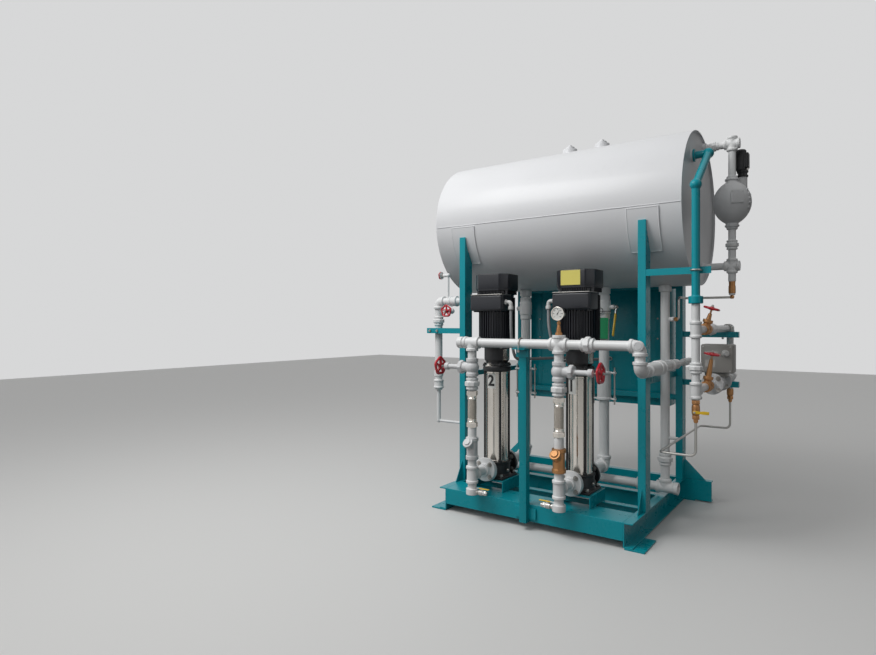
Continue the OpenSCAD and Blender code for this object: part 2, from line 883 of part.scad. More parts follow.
module suction_lever() {
    w = 26;
    t = 8;
    color(yellow)
        translate([pump_1_x + lever_x, -suct_y, suct_valve_z])
            rotate([-lever_turn, 0, 0]) difference() {
                union() {
                    rotate([0, 90, 0]) cylinder(h = t, d = w + 6);
                    translate([0, -w / 2, -lever_l]) cube([t, w, lever_l]);
                }
                translate([-1, 0, 0]) rotate([0, 90, 0])
                    cylinder(h = t + 2, d = stem_d + 2 * run_gap);
            }
}

module overflow_line() {
    d = over_d;
    p = [over_x, over_y, low_z];
    top_z = tank_z - sqrt(tank_r * tank_r - over_y * over_y);
    open_l = 90;
    color(pipe_grey) {
        difference() {
            union() {
                bar(p, [over_x, over_y, top_z + 20], d);
                bar([over_x, over_y, top_z - 40], [over_x, over_y, top_z + 20], band_d(d));
            }
            tank_round(0);
        }
        union_joint([over_x, over_y, deck_z + 250], pz, d);
        fitting([over_x + d / 2, over_y, side_z], [px], small_d);
        bar([over_x, over_y, drain_z], [drain_x, over_y, drain_z], small_d);
        difference() {
            union() {
                fitting(p, [pz, -px], d);
                bar(p, p + px * open_l, body_d(d));
                bar(p + px * (open_l - 30), p + px * open_l, band_d(d));
            }
            bar(p + px * (open_l - bore_l), p + px * (open_l + 1), d - 2 * pipe_t);
        }
    }
}

module bottom_header() {
    x0 = -post_x + 60;
    color(pipe_grey) {
        bar([x0, over_y, low_z], [over_x - reach(over_d), over_y, low_z], disc_d);
        ring([x0 + 20, over_y, low_z], px, body_d(disc_d), 40);
        coupling([over_x - 160, over_y, low_z], px, disc_d);
    }
}

module control_panel() {
    color(teal)
        translate([-panel_w / 2 - 20, panel_y0, deck_z + panel_foot])
            cube([panel_w, panel_d, panel_h]);
}

module panel_rails() {
    color(teal)
        for (z = [panel_foot + 60, panel_foot + panel_h - 100])
            translate([-web_x, panel_y0 - 42, deck_z + z]) cube([2 * web_x, 42, 42]);
}

module vent_riser() {
    d = make_d;
    a = [make_x, vent_y, vent_z];
    b = [make_x, make_y, vent_low_z];
    color(teal) {
        bar([head_x, vent_y, vent_z], a, d);
        bar([head_x, vent_y, vent_z], [head_x + 24, vent_y, vent_z], d + 34);
        translate(a) sphere(d = band_d(d));
        bar(a, b, d);
        translate(b) sphere(d = band_d(d));
        bar(b, [make_x, make_y, vent_cap_z], d);
        ring([make_x, make_y, vent_cap_z + 22], pz, band_d(d) + 14, 44);
    }
}

// The pipe of a make-up run, before and behind its valve
module makeup_run(valve_y, z, y1) {
    y = make_y + valve_y;
    bar([make_x, make_y + reach(make_d), z], [make_x, y - makeup_half, z], make_d);
    bar([make_x, y + makeup_half, z], [make_x, y1, z], make_d);
}

// The column under the vent riser, and the make-up runs from it to the back
module makeup_pipework() {
    d = make_d;
    p = [make_x, make_y, 0];
    q = [make_x, make_far_y, 0];
    color(pipe_grey) {
        bar(p + pz * column_z, p + pz * vent_cap_z, d);
        fitting(p + pz * make_up_z, [pz, -pz, py], d);
        union_joint(p + pz * (make_low_z + 135), pz, d);
        fitting(p + pz * make_low_z, [pz, -pz, py], d);
        makeup_run(up_valve_y, make_up_z, make_far_y - reach(d));
        union_joint([make_x, -110, make_up_z], py, d);
        elbow(q + pz * make_up_z, -py, -pz, d);
        bar(q + pz * column_z, q + pz * (make_up_z - reach(d)), d);
        fitting(q + pz * make_low_z, [-py, py, pz, -pz], d);
        makeup_run(low_valve_y, make_low_z, control_y0);
        bar([make_x, control_y1, make_low_z], q + pz * make_low_z, d);
        difference() {
            bar(q + pz * make_low_z, q + pz * make_low_z + py * inlet_l, d);
            bar(q + pz * make_low_z + py * (inlet_l - bore_l),
                q + pz * make_low_z + py * (inlet_l + 1), d - 2 * pipe_t);
        }
    }
}

// Places children on a make-up valve's leaning stem, at a distance along it
module on_stem(valve_y, z, lean, out) {
    translate([make_x, make_y + valve_y, z]) rotate([0, lean, 0]) translate([0, 0, out]) children();
}

// A bronze valve in a make-up run, with its bonnet and stem leaning to the right
module makeup_valve(valve_y, z, lean, out) {
    d = make_d;
    p = [make_x, make_y + valve_y, z];
    ring(p, py, body_d(d), 2 * makeup_half);
    translate(p) sphere(d = d + 26);
    ring(p - py * (makeup_half - 10), py, band_d(d), 20);
    ring(p + py * (makeup_half - 10), py, band_d(d), 20);
    on_stem(valve_y, z, lean, 0) {
        cylinder(h = 62, d = 44);
        translate([0, 0, 44]) cylinder(h = 20, d = 60);
        cylinder(h = out - 34, d1 = 44, d2 = 22);
        cylinder(h = out + 16, d = stem_d);
    }
}

module makeup_valves() {
    color(bronze) {
        makeup_valve(up_valve_y, make_up_z, up_lean, up_stem);
        makeup_valve(low_valve_y, make_low_z, low_lean, low_stem);
    }
}

module makeup_wheel_upper() {
    color(red)
        on_stem(up_valve_y, make_up_z, up_lean, up_stem) handwheel(small_wheel_d, 13, 20);
}

module makeup_wheel_lower() {
    color(red)
        on_stem(low_valve_y, make_low_z, low_lean, low_stem) handwheel(small_wheel_d, 13, 20);
}

// A globe control valve between two pairs of flanges, with a yoke up to its actuator
module control_valve() {
    mid = (control_y0 + control_y1) / 2;
    p = [make_x, mid, make_low_z];
    color(pipe_grey) {
        bar([make_x, control_y0, make_low_z], [make_x, control_y1, make_low_z], make_d + 14);
        for (y = [control_y0 + 18, control_y1 - 18])
            ring([make_x, y, make_low_z], py, control_d, 36);
        translate(p) sphere(d = 112);
        bar(p, [make_x, mid, box_z0], 50);
    }
}

module actuator_box() {
    mid = (control_y0 + control_y1) / 2;
    color(pipe_grey)
        translate([make_x - box_w / 2 + 10, mid - box_d / 2, box_z0]) cube([box_w, box_d, box_h]);
}

// Arms that carry the vent riser, the make-up runs and the left line
module pipe_brackets() {
    x0 = post_x + post_w / 2;
    l = make_x + 80 - x0;
    arm = 42;
    riser_arm_z = deck_z + 1490;
    color(teal) {
        translate([x0, make_y + make_d / 2 + seat, riser_arm_z]) cube([l, plate_t, arm]);
        for (z = [make_low_z, make_up_z])
            translate([x0, post_y - arm / 2, z - make_d / 2 - arm]) cube([l, arm, arm]);
        translate([left_x - 66, -post_y + post_d / 2 - arm, left_arm_z])
            cube([-x0 - left_x + 66, arm, arm]);
    }
    color(steel) {
        u_bolt([make_x, make_y, riser_arm_z + arm / 2], pz, py, make_d, make_d / 2 + 14);
        for (z = [make_low_z, make_up_z])
            u_bolt([make_x, post_y, z], py, -pz, make_d, make_d / 2 + arm + 12);
        u_bolt([left_x, left_y, left_arm_z + arm / 2], pz, -py, disc_d, disc_d / 2 + arm + 12);
    }
}

module float_column() {
    d = make_d;
    p = [level_x, level_y, 0];
    color(pipe_grey) {
        fitting(p + pz * level_top_z, [px, -px, pz, -pz], d);
        bar([head_x, level_y, level_top_z], [level_x, level_y, level_top_z], d);
        union_joint([head_x + 78, level_y, level_top_z], px, d * 0.8);
        bar(p + pz * (float_z + float_l / 2), p + pz * level_top_z, d);
        bar(p + pz * level_drain_z, p + pz * (float_z - float_l / 2), d);
        union_joint(p + pz * (level_low_z + 143), pz, d);
        fitting(p + pz * level_low_z, [px, -px, pz, -pz], d);
        bar([head_x, level_y, level_low_z], [level_x, level_y, level_low_z], d);
    }
    color(bronze)
        bar(p + pz * (level_drain_z - 95), p + pz * level_drain_z, 40);
}

// The ovoid float housing, with a side flange and an elbow up to the switch
module float_chamber() {
    bulge = 40;
    p = [level_x, level_y, float_z + 50];
    q = p + switch_dir * switch_out;
    color(pipe_grey) {
        translate([level_x, level_y, float_z])
            rotate_extrude()
                intersection() {
                    translate([0, -float_l / 2]) square([float_d, float_l]);
                    union() {
                        translate([-bulge, 0]) circle(r = float_d / 2 + bulge);
                        translate([0, -float_l / 2]) square([40, float_l]);
                    }
                }
        bar(p, q, 60);
        ring(p + switch_dir * (switch_out - 14), switch_dir, 120, 20);
        translate(q) sphere(d = 60);
        bar(q, q + pz * switch_rise, 60);
    }
}

module float_switch() {
    w = 82;
    q = [level_x, level_y, float_z + 50 + switch_rise] + switch_dir * switch_out;
    color(black) {
        translate(q) cylinder(h = 40, d = 66);
        translate(q + [-w / 2, -w / 2, 40]) cube([w, w, 155]);
    }
}

// A tube along a list of points, with round corners
module tube_run(points, d) {
    for (i = [0 : len(points) - 2]) bar(points[i], points[i + 1], d);
    for (i = [1 : len(points) - 2]) translate(points[i]) sphere(d = d);
}

module drain_tubes() {
    valve_z0 = column_z - 115;
    near = [make_x, make_y, 0];
    far = [make_x, make_far_y, 0];
    color(bronze) {
        bar(near + pz * valve_z0, near + pz * column_z, 40);
        bar(far + pz * valve_z0, far + pz * column_z, 40);
    }
    color(steel) {
        bar(near + pz * lever_z, near + pz * lever_z - py * 40, lever_pin_d);
        tube_run([
            near + pz * valve_z0,
            near + pz * drain_z,
            [drain_x + tube_d / 2, make_y, drain_z],
            [drain_x + tube_d / 2, make_far_y, drain_z],
            far + pz * drain_z,
            far + pz * valve_z0
        ], tube_d);
        tube_run([
            [level_x, level_y, level_drain_z - 95],
            [level_x, level_y, level_drain_z - 110],
            [over_x + 90, level_y, level_drain_z - 110],
            [over_x + 90, over_y, level_drain_z - 110],
            [over_x + 90, over_y, side_z],
            [over_x + over_d / 2 + reach(small_d), over_y, side_z]
        ], tube_d);
    }
}

module drain_lever() {
    color(yellow)
        difference() {
            translate([make_x - 9, make_y - 36, lever_z - 9]) cube([90, 5, 18]);
            bar([make_x, make_y - 60, lever_z], [make_x, make_y, lever_z],
                lever_pin_d + 2 * run_gap);
        }
}

// The line down the left end, with a small valve, an air cock on top and a drain at its foot
module left_line() {
    d = disc_d;
    p = [left_x, left_y, 0];
    q = [left_turn_x, left_y, 0];
    r = [left_turn_x, left_rise_y, 0];
    top = left_top_z;
    valve = [left_valve_x, left_y, left_wheel_z];
    cock = [cock_x, cock_y, cock_z];
    foot = p + pz * left_drain_z;
    color(pipe_grey) {
        difference() {
            bar(r + pz * (top + reach(d)), r + pz * tank_z, d);
            tank_round(0);
        }
        elbow(r + pz * top, -py, pz, d);
        bar(q + pz * top + py * reach(d), r + pz * top - py * reach(d), d);
        elbow(q + pz * top, -px, py, d);
        bar(p + pz * top + px * reach(d), q + pz * top - px * reach(d), d);
        coupling(p + pz * top + px * 150, px, d);
        elbow(p + pz * top, px, -pz, d);
        bar(p + pz * left_foot_z, p + pz * (top - reach(d)), d);
        union_joint(p + pz * (top - 157), pz, d * 0.9);
        coupling(p + pz * (left_foot_z + 48), pz, d);
        ring(p + pz * (left_foot_z + 132), pz, body_d(d), 44);
        bar(foot, p + pz * left_foot_z, outlet_d);
        translate(foot) sphere(d = outlet_d);
        bar(foot, foot + px * 250, small_d);
        nut(foot + px * 236, px, small_d + 12, 28, 6);
        bar(p + pz * left_wheel_z, valve, small_d);
        translate(valve) sphere(d = 46);
        bar(valve, valve - py * (left_stem - 18), 24);
        bar([cock_x, cock_y, top], cock, tube_d);
        translate(cock) sphere(d = 34);
        bar(cock, cock - px * 62, 26);
    }
    color(steel)
        bar(valve, valve - py * (left_stem + 16), stem_d);
    color(red)
        ring(cock - px * 72, px, 60, 20);
}

module left_wheel() {
    color(red)
        place([left_valve_x, left_y - left_stem, left_wheel_z], px, pz) handwheel(small_wheel_d, 13, 20);
}

module pressure_gauge() {
    p = [pump_1_x, riser_y, header_z + reach(disc_d)];
    color(bronze) {
        bar(p, p + pz * 16, 48);
        bar(p, p + pz * 92, 22);
    }
    color(steel)
        bar(p + pz * 134 + py * 10, p + pz * 134 - py * 24, 86);
}

side_beams();
front_deck();
cross_beams();
back_beam();
foot_plates();
post_front_left();
post_front_right();
post_back_left();
post_back_right();
end_ties();
pipe_support_post();
pump_pedestals();
tank_shell();
tank_head_left();
tank_head_right();
saddle_pads();
tank_plugs();
pump_1_casing();
pump_1_motor();
pump_2_casing();
pump_2_motor();
motor_conduits();
discharge_header();
discharge_outlet();
discharge_risers();
check_valve_1();
check_valve_2();
flex_connectors();
discharge_valves();
handwheel_1();
handwheel_2();
suction_lines();
suction_lever();
overflow_line();
bottom_header();
control_panel();
panel_rails();
vent_riser();
float_column();
float_chamber();
float_switch();
makeup_pipework();
makeup_valves();
makeup_wheel_upper();
makeup_wheel_lower();
control_valve();
actuator_box();
pipe_brackets();
drain_tubes();
drain_lever();
left_line();
left_wheel();
pressure_gauge();
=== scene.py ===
import bpy
import bmesh
import json
import math
from mathutils import Matrix, Vector


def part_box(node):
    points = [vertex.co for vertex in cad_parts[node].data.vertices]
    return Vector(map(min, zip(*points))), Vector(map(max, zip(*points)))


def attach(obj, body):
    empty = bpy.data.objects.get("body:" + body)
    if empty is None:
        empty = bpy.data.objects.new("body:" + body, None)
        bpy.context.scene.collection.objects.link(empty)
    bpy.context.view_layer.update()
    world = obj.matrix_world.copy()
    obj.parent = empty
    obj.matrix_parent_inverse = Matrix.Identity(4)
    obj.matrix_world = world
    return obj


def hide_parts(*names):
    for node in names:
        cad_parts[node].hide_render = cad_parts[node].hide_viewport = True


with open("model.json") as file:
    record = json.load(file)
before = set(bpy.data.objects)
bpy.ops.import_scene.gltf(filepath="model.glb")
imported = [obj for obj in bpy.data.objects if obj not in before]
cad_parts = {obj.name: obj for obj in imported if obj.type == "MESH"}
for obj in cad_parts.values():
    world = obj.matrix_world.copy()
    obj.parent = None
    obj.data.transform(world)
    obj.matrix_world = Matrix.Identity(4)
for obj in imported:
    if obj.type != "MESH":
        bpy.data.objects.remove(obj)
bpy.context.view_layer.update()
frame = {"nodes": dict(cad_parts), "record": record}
nodes = frame["nodes"]
print("frame loaded:", len(nodes), "nodes")

X, Y, Z = Vector((1, 0, 0)), Vector((0, 1, 0)), Vector((0, 0, 1))


def srgb(red, green, blue):
    # a colour as read off the photo, 0 to 255, made linear
    def one(v):
        v = v / 255
        return v / 12.92 if v <= 0.04045 else ((v + 0.055) / 1.055) ** 2.4
    return (one(red), one(green), one(blue), 1)


# camera
view = {"place": (1.795, -4.321, 1.356), "turn": 35.4, "lens": 24.37, "shiftY": -0.0051}
cameraData = bpy.data.cameras.new("shopCamera")
cameraData.lens = view["lens"]
cameraData.sensor_width = 36
cameraData.shift_y = view["shiftY"]
cameraData.clip_end = 60
camera = bpy.data.objects.new("shopCamera", cameraData)
camera.location = view["place"]
camera.rotation_euler = (math.radians(90), 0, math.radians(view["turn"]))
bpy.context.scene.collection.objects.link(camera)
bpy.context.scene.camera = camera
bpy.context.scene.view_settings.view_transform = "Standard"
print("camera set")


# shader groups: each is built once and placed in the materials that need it
def newGroup(name, inputs, outputs):
    tree = bpy.data.node_groups.new(name, "ShaderNodeTree")
    for label, kind, value in inputs:
        socket = tree.interface.new_socket(label, in_out="INPUT", socket_type="NodeSocket" + kind)
        socket.default_value = value
    for label, kind in outputs:
        tree.interface.new_socket(label, in_out="OUTPUT", socket_type="NodeSocket" + kind)
    return tree, tree.nodes.new("NodeGroupInput"), tree.nodes.new("NodeGroupOutput")


def feed(tree, slot, value):
    # links a socket, or sets a plain value
    if isinstance(value, bpy.types.NodeSocket):
        tree.links.new(value, slot)
    else:
        slot.default_value = value


def addMath(tree, operation, first, second, clamp=False):
    node = tree.nodes.new("ShaderNodeMath")
    node.operation = operation
    node.use_clamp = clamp
    feed(tree, node.inputs[0], first)
    feed(tree, node.inputs[1], second)
    return node.outputs[0]


def times(tree, first, second):
    return addMath(tree, "MULTIPLY", first, second)


def plus(tree, first, second, clamp=False):
    return addMath(tree, "ADD", first, second, clamp)


def addMix(tree, factor, first, second):
    node = tree.nodes.new("ShaderNodeMix")
    node.data_type = "RGBA"
    for index, value in ((0, factor), (6, first), (7, second)):
        feed(tree, node.inputs[index], value)
    return node.outputs[2]


def addNoise(tree, vector, scale, detail=3.0, rough=0.55):
    node = tree.nodes.new("ShaderNodeTexNoise")
    for label, value in (("Vector", vector), ("Scale", scale), ("Detail", detail),
                         ("Roughness", rough)):
        feed(tree, node.inputs[label], value)
    return node.outputs["Fac"]


def addStep(tree, value, low, high):
    node = tree.nodes.new("ShaderNodeMapRange")
    node.interpolation_type = "SMOOTHSTEP"
    tree.links.new(value, node.inputs["Value"])
    node.inputs["From Min"].default_value = low
    node.inputs["From Max"].default_value = high
    return node.outputs["Result"]


# cloudy tone, grime blots and dust that settles on what faces up
def makePaintTone():
    tree, start, end = newGroup("paintTone", [
        ("Base", "Color", (0.5, 0.5, 0.5, 1)), ("Cloud Scale", "Float", 5.0),
        ("Cloud Amount", "Float", 0.1), ("Dust", "Float", 0.1), ("Grime", "Float", 0.1),
        ("Roughness", "Float", 0.4)],
        [("Color", "Color"), ("Roughness", "Float")])
    place = tree.nodes.new("ShaderNodeTexCoord")
    cloud = addNoise(tree, place.outputs["Object"], start.outputs["Cloud Scale"], 4)
    shade = times(tree, addMath(tree, "SUBTRACT", cloud, 0.5),
                    times(tree, start.outputs["Cloud Amount"], 2.0))
    bright = tree.nodes.new("ShaderNodeHueSaturation")
    tree.links.new(start.outputs["Base"], bright.inputs["Color"])
    tree.links.new(plus(tree, shade, 1.0), bright.inputs["Value"])
    normal = tree.nodes.new("ShaderNodeSeparateXYZ")
    tree.links.new(place.outputs["Normal"], normal.inputs[0])
    upward = addStep(tree, normal.outputs["Z"], 0.55, 0.98)
    fine = addStep(tree, addNoise(tree, place.outputs["Object"], 38.0, 5), 0.38, 0.72)
    dust = times(tree, times(tree, upward, fine), start.outputs["Dust"])
    dusty = addMix(tree, dust, bright.outputs["Color"], srgb(196, 190, 180))
    blot = addStep(tree, addNoise(tree, place.outputs["Object"], 14.0, 6, 0.7), 0.56, 0.78)
    grimy = addMix(tree, times(tree, blot, start.outputs["Grime"]), dusty,
                   srgb(70, 64, 56))
    tree.links.new(grimy, end.inputs["Color"])
    rough = plus(tree, start.outputs["Roughness"],
                    plus(tree, times(tree, shade, 0.5),
                            times(tree, dust, 0.5)), True)
    tree.links.new(rough, end.inputs["Roughness"])
    return tree


# a sprayed or cast skin: broad waves and a fine grain, as a height
def makeSkin():
    tree, start, end = newGroup("skinHeight", [
        ("Wave Scale", "Float", 12.0), ("Wave", "Float", 0.5),
        ("Grain Scale", "Float", 260.0), ("Grain", "Float", 0.5)], [("Height", "Float")])
    place = tree.nodes.new("ShaderNodeTexCoord")
    wave = addNoise(tree, place.outputs["Object"], start.outputs["Wave Scale"], 2)
    grain = addNoise(tree, place.outputs["Object"], start.outputs["Grain Scale"], 3)
    total = plus(tree, times(tree, wave, start.outputs["Wave"]),
                    times(tree, grain, start.outputs["Grain"]))
    tree.links.new(total, end.inputs["Height"])
    return tree


# streaks that run along one direction, for rolled and brushed metal
def makeBrush():
    tree, start, end = newGroup("brushMarks", [
        ("Stretch", "Vector", (40, 40, 900)), ("Amount", "Float", 0.1)], [("Value", "Float")])
    place = tree.nodes.new("ShaderNodeTexCoord")
    scaled = tree.nodes.new("ShaderNodeVectorMath")
    scaled.operation = "MULTIPLY"
    tree.links.new(place.outputs["Object"], scaled.inputs[0])
    tree.links.new(start.outputs["Stretch"], scaled.inputs[1])
    marks = addNoise(tree, scaled.outputs[0], 1.0, 4)
    tree.links.new(times(tree, addMath(tree, "SUBTRACT", marks, 0.5),
                           start.outputs["Amount"]), end.inputs["Value"])
    return tree


paintTone = makePaintTone()
skinHeight = makeSkin()
brushMarks = makeBrush()

# each finish: its slot, colour and gloss, how cloudy, dusty and grimy it is, and its skin
finishColumns = ("slot", "color", "rough", "cloud", "dust", "grime", "wave", "grain", "depth")
finishRows = {
    "tealEnamel": ("teal_paint", (0, 150, 163), 0.28, 0.08, 0.03, 0.06, 0.35, 0.10, 0.0012),
    "tankPrimer": ("tank_primer", (220, 221, 223), 0.46, 0.05, 0.06, 0.04, 1.0, 0.03, 0.0016),
    "pipePaint": ("pipe_paint", (232, 233, 233), 0.38, 0.06, 0.08, 0.07, 0.3, 0.25, 0.0012),
    "castPaint": ("pipe_paint", (216, 217, 218), 0.44, 0.08, 0.08, 0.12, 0.3, 0.7, 0.0020),
    "motorBlack": ("motor_black", (24, 27, 35), 0.34, 0.08, 0.05, 0.02, 0.2, 0.5, 0.0010),
    "castBlack": ("motor_black", (26, 27, 30), 0.45, 0.1, 0.12, 0.03, 0.3, 0.9, 0.0020),
    "redEnamel": ("red_enamel", (196, 16, 38), 0.30, 0.06, 0.05, 0.06, 0.3, 0.2, 0.0010),
    "yellowVinyl": ("yellow_vinyl", (238, 196, 44), 0.35, 0.04, 0.05, 0.06, 0.3, 0.1, 0.0008),
    "greyBox": ("grey_box", (158, 156, 152), 0.45, 0.05, 0.08, 0.06, 0.2, 0.4, 0.0010),
    "conduitGrey": ("conduit_grey", (150, 152, 154), 0.5, 0.05, 0.08, 0.06, 0.1, 0.2, 0.0008),
    "blackPlastic": ("black_plastic", (20, 21, 24), 0.42, 0.05, 0.08, 0.0, 0.1, 0.5, 0.0008),
    "labelWhite": ("black_plastic", (232, 232, 228), 0.4, 0.02, 0.0, 0.05, 0.1, 0.1, 0.0004),
    "labelYellow": ("black_plastic", (226, 214, 112), 0.4, 0.02, 0.0, 0.03, 0.1, 0.1, 0.0004),
    "bronzeCast": ("bronze", (176, 128, 84), 0.40, 0.14, 0.05, 0.25, 0.3, 0.8, 0.0020),
    "stainless": ("stainless", (232, 226, 218), 0.20, 0.05, 0.04, 0.05, 0.15, 0.02, 0.0004),
    "conduitPale": ("conduit_grey", (206, 206, 204), 0.42, 0.05, 0.06, 0.10, 0.1, 0.4, 0.0008),
    "tagGreen": ("black_plastic", (28, 150, 96), 0.45, 0.06, 0.02, 0.10, 0.1, 0.1, 0.0004),
    "zincBolt": ("stainless", (176, 174, 170), 0.36, 0.1, 0.05, 0.15, 0.2, 0.4, 0.0006),
}
# what sets some of them apart
finishExtras = {
    "tealEnamel": {"coat": 0.08, "specular": 0.28}, "pipePaint": {"coat": 0.1},
    "tankPrimer": {"coat": 0.15, "cloudScale": 2.2, "waveScale": 3.0}, "castPaint": {"coat": 0.05},
    "motorBlack": {"coat": 0.1}, "redEnamel": {"coat": 0.3}, "bronzeCast": {"metal": 0.75},
    "stainless": {"metal": 1.0, "brush": (90, 90, 2.5), "brushAmount": 0.16},
    "zincBolt": {"metal": 0.9},
}
finishes = {name: dict(zip(finishColumns, row), **finishExtras.get(name, {}))
            for name, row in finishRows.items()}


def makeMaterial(name, look):
    material = bpy.data.materials.new(name)
    material.use_nodes = True
    tree = material.node_tree
    shader = tree.nodes["Principled BSDF"]
    shader.inputs["Metallic"].default_value = look.get("metal", 0.0)
    shader.inputs["Coat Weight"].default_value = look.get("coat", 0.0)
    shader.inputs["Coat Roughness"].default_value = 0.18
    shader.inputs["Specular IOR Level"].default_value = look.get("specular", 0.5)
    tone = tree.nodes.new("ShaderNodeGroup")
    tone.node_tree = paintTone
    for label, value in (("Base", srgb(*look["color"])),
                         ("Cloud Scale", look.get("cloudScale", 6.0)),
                         ("Cloud Amount", look["cloud"]), ("Dust", look["dust"]),
                         ("Grime", look["grime"]), ("Roughness", look["rough"])):
        tone.inputs[label].default_value = value
    tree.links.new(tone.outputs["Color"], shader.inputs["Base Color"])
    rough = tone.outputs["Roughness"]
    if "brush" in look:
        brush = tree.nodes.new("ShaderNodeGroup")
        brush.node_tree = brushMarks
        brush.inputs["Stretch"].default_value = look["brush"]
        brush.inputs["Amount"].default_value = look["brushAmount"]
        rough = plus(tree, rough, brush.outputs["Value"], True)
    tree.links.new(rough, shader.inputs["Roughness"])
    skin = tree.nodes.new("ShaderNodeGroup")
    skin.node_tree = skinHeight
    skin.inputs["Wave Scale"].default_value = look.get("waveScale", 14.0)
    skin.inputs["Wave"].default_value = look["wave"]
    skin.inputs["Grain"].default_value = look["grain"]
    bump = tree.nodes.new("ShaderNodeBump")
    bump.inputs["Strength"].default_value = 0.6
    bump.inputs["Distance"].default_value = look["depth"]
    tree.links.new(skin.outputs["Height"], bump.inputs["Height"])
    tree.links.new(bump.outputs["Normal"], shader.inputs["Normal"])
    return material


materials = {name: makeMaterial(name, look) for name, look in finishes.items()}
print("materials:", len(materials))


# a built mesh as mesh data
def toData(mesh, name):
    data = bpy.data.meshes.new(name)
    mesh.to_mesh(data)
    mesh.free()
    return data


def stitch(mesh, rings, closed=False):
    # faces between each ring of points and the next, and over the open ends
    for first, second in zip(rings, rings[1:] + (rings[:1] if closed else [])):
        for k in range(len(first)):
            after = (k + 1) % len(first)
            mesh.faces.new((first[k], first[after], second[after], second[k]))
    if not closed:
        mesh.faces.new(rings[0][::-1])
        mesh.faces.new(rings[-1])


def addLathe(mesh, origin, axis, profile, sides=40, loop=False):
    # turns (distance along the axis, radius) pairs into a closed round solid
    axis = Vector(axis).normalized()
    side = axis.orthogonal().normalized()
    across = axis.cross(side)
    rings = []
    for along, radius in profile:
        middle = Vector(origin) + axis * along
        if radius < 1e-6:
            rings.append([mesh.verts.new(middle)])
            continue
        ring = []
        for k in range(sides):
            angle = 2 * math.pi * k / sides
            ring.append(mesh.verts.new(middle + (side * math.cos(angle)
                                                 + across * math.sin(angle)) * radius))
        rings.append(ring)
    pairs = list(zip(rings, rings[1:])) + ([(rings[-1], rings[0])] if loop else [])
    for first, second in pairs:
        for k in range(sides):
            after = (k + 1) % sides
            if len(first) == 1 and len(second) == 1:
                continue
            if len(first) == 1:
                mesh.faces.new((first[0], second[k], second[after]))
            elif len(second) == 1:
                mesh.faces.new((first[k], second[0], first[after]))
            else:
                mesh.faces.new((first[k], second[k], second[after], first[after]))
    if not loop:
        for ring in (rings[0], rings[-1]):
            if len(ring) > 1:
                mesh.faces.new(ring)


def addBand(mesh, origin, axis, inner, outer, tall, sides=40):
    # a flat ring with a hole
    addLathe(mesh, origin, axis, [(0, inner), (0, outer), (tall, outer), (tall, inner)], sides,
             loop=True)


def addBar(mesh, start, end, radius, sides=24, soft=0.0):
    start, end = Vector(start), Vector(end)
    length = (end - start).length
    profile = [(0, radius - soft), (soft, radius), (length - soft, radius), (length, radius - soft)]
    addLathe(mesh, start, end - start, profile if soft else [(0, radius), (length, radius)], sides)


def addNut(mesh, centre, axis, size, height):
    # a hexagonal nut or head, size across its corners, with chamfered corners
    axis = Vector(axis).normalized()
    addLathe(mesh, Vector(centre) - axis * height / 2, axis,
             [(0, size * 0.46), (height * 0.12, size / 2), (height * 0.88, size / 2),
              (height, size * 0.46)], 6)


def addBox(mesh, low, high, soft=0.0, steps=2):
    made = bmesh.ops.create_cube(mesh, size=1)
    low, high = Vector(low), Vector(high)
    size = high - low
    for v in made["verts"]:
        v.co = Vector([low[i] + (v.co[i] + 0.5) * size[i] for i in range(3)])
    if soft > 0:
        edges = list({e for v in made["verts"] for e in v.link_edges})
        bmesh.ops.bevel(mesh, geom=edges, offset=soft, segments=steps, affect="EDGES", profile=0.5)


def addPrism(mesh, outline, placeIt, height, soft=0.0):
    # outline is a list of (u, v); placeIt turns (u, v, w) into a point
    low = [mesh.verts.new(placeIt(u, v, 0)) for u, v in outline]
    high = [mesh.verts.new(placeIt(u, v, height)) for u, v in outline]
    count = len(outline)
    faces = [mesh.faces.new(low[::-1]), mesh.faces.new(high)]
    for k in range(count):
        faces.append(mesh.faces.new((low[k], low[(k + 1) % count], high[(k + 1) % count], high[k])))
    if soft > 0:
        edges = list({e for face in faces for e in face.edges})
        bmesh.ops.bevel(mesh, geom=edges, offset=soft, segments=2, affect="EDGES", profile=0.5)


def roundedPath(points, bend, steps=6):
    # the points with an arc-like curve at each corner
    points = [Vector(p) for p in points]
    path = [points[0]]
    for before, corner, after in zip(points, points[1:], points[2:]):
        reach = min(bend, (before - corner).length * 0.49, (after - corner).length * 0.49)
        start = corner + (before - corner).normalized() * reach
        end = corner + (after - corner).normalized() * reach
        for k in range(steps + 1):
            t = k / steps
            path.append(start * (1 - t) ** 2 + corner * 2 * t * (1 - t) + end * t ** 2)
    path.append(points[-1])
    return path


def addTube(mesh, path, radius, sides=14, ribs=None):
    # sweeps a circle along a path; ribs = (spacing, depth) makes it a ribbed conduit
    path = [Vector(p) for p in path]
    if ribs:
        spacing, depth = ribs
        even = [path[0]]
        left = spacing / 2
        for a, b in zip(path, path[1:]):
            length = (b - a).length
            along = left
            while along < length:
                even.append(a.lerp(b, along / length))
                along += spacing / 2
            left = along - length
        path = even
    # a frame that is carried along the path, so that the tube doesn't twist
    side = (path[1] - path[0]).normalized().orthogonal().normalized()
    rings = []
    for k, point in enumerate(path):
        turned = (path[min(k + 1, len(path) - 1)] - path[max(k - 1, 0)]).normalized()
        side = (side - turned * side.dot(turned)).normalized()
        across = turned.cross(side)
        size = radius - (ribs[1] if ribs and k % 2 else 0)
        rings.append([mesh.verts.new(point + (side * math.cos(a) + across * math.sin(a)) * size)
                      for a in [2 * math.pi * n / sides for n in range(sides)]])
    stitch(mesh, rings)


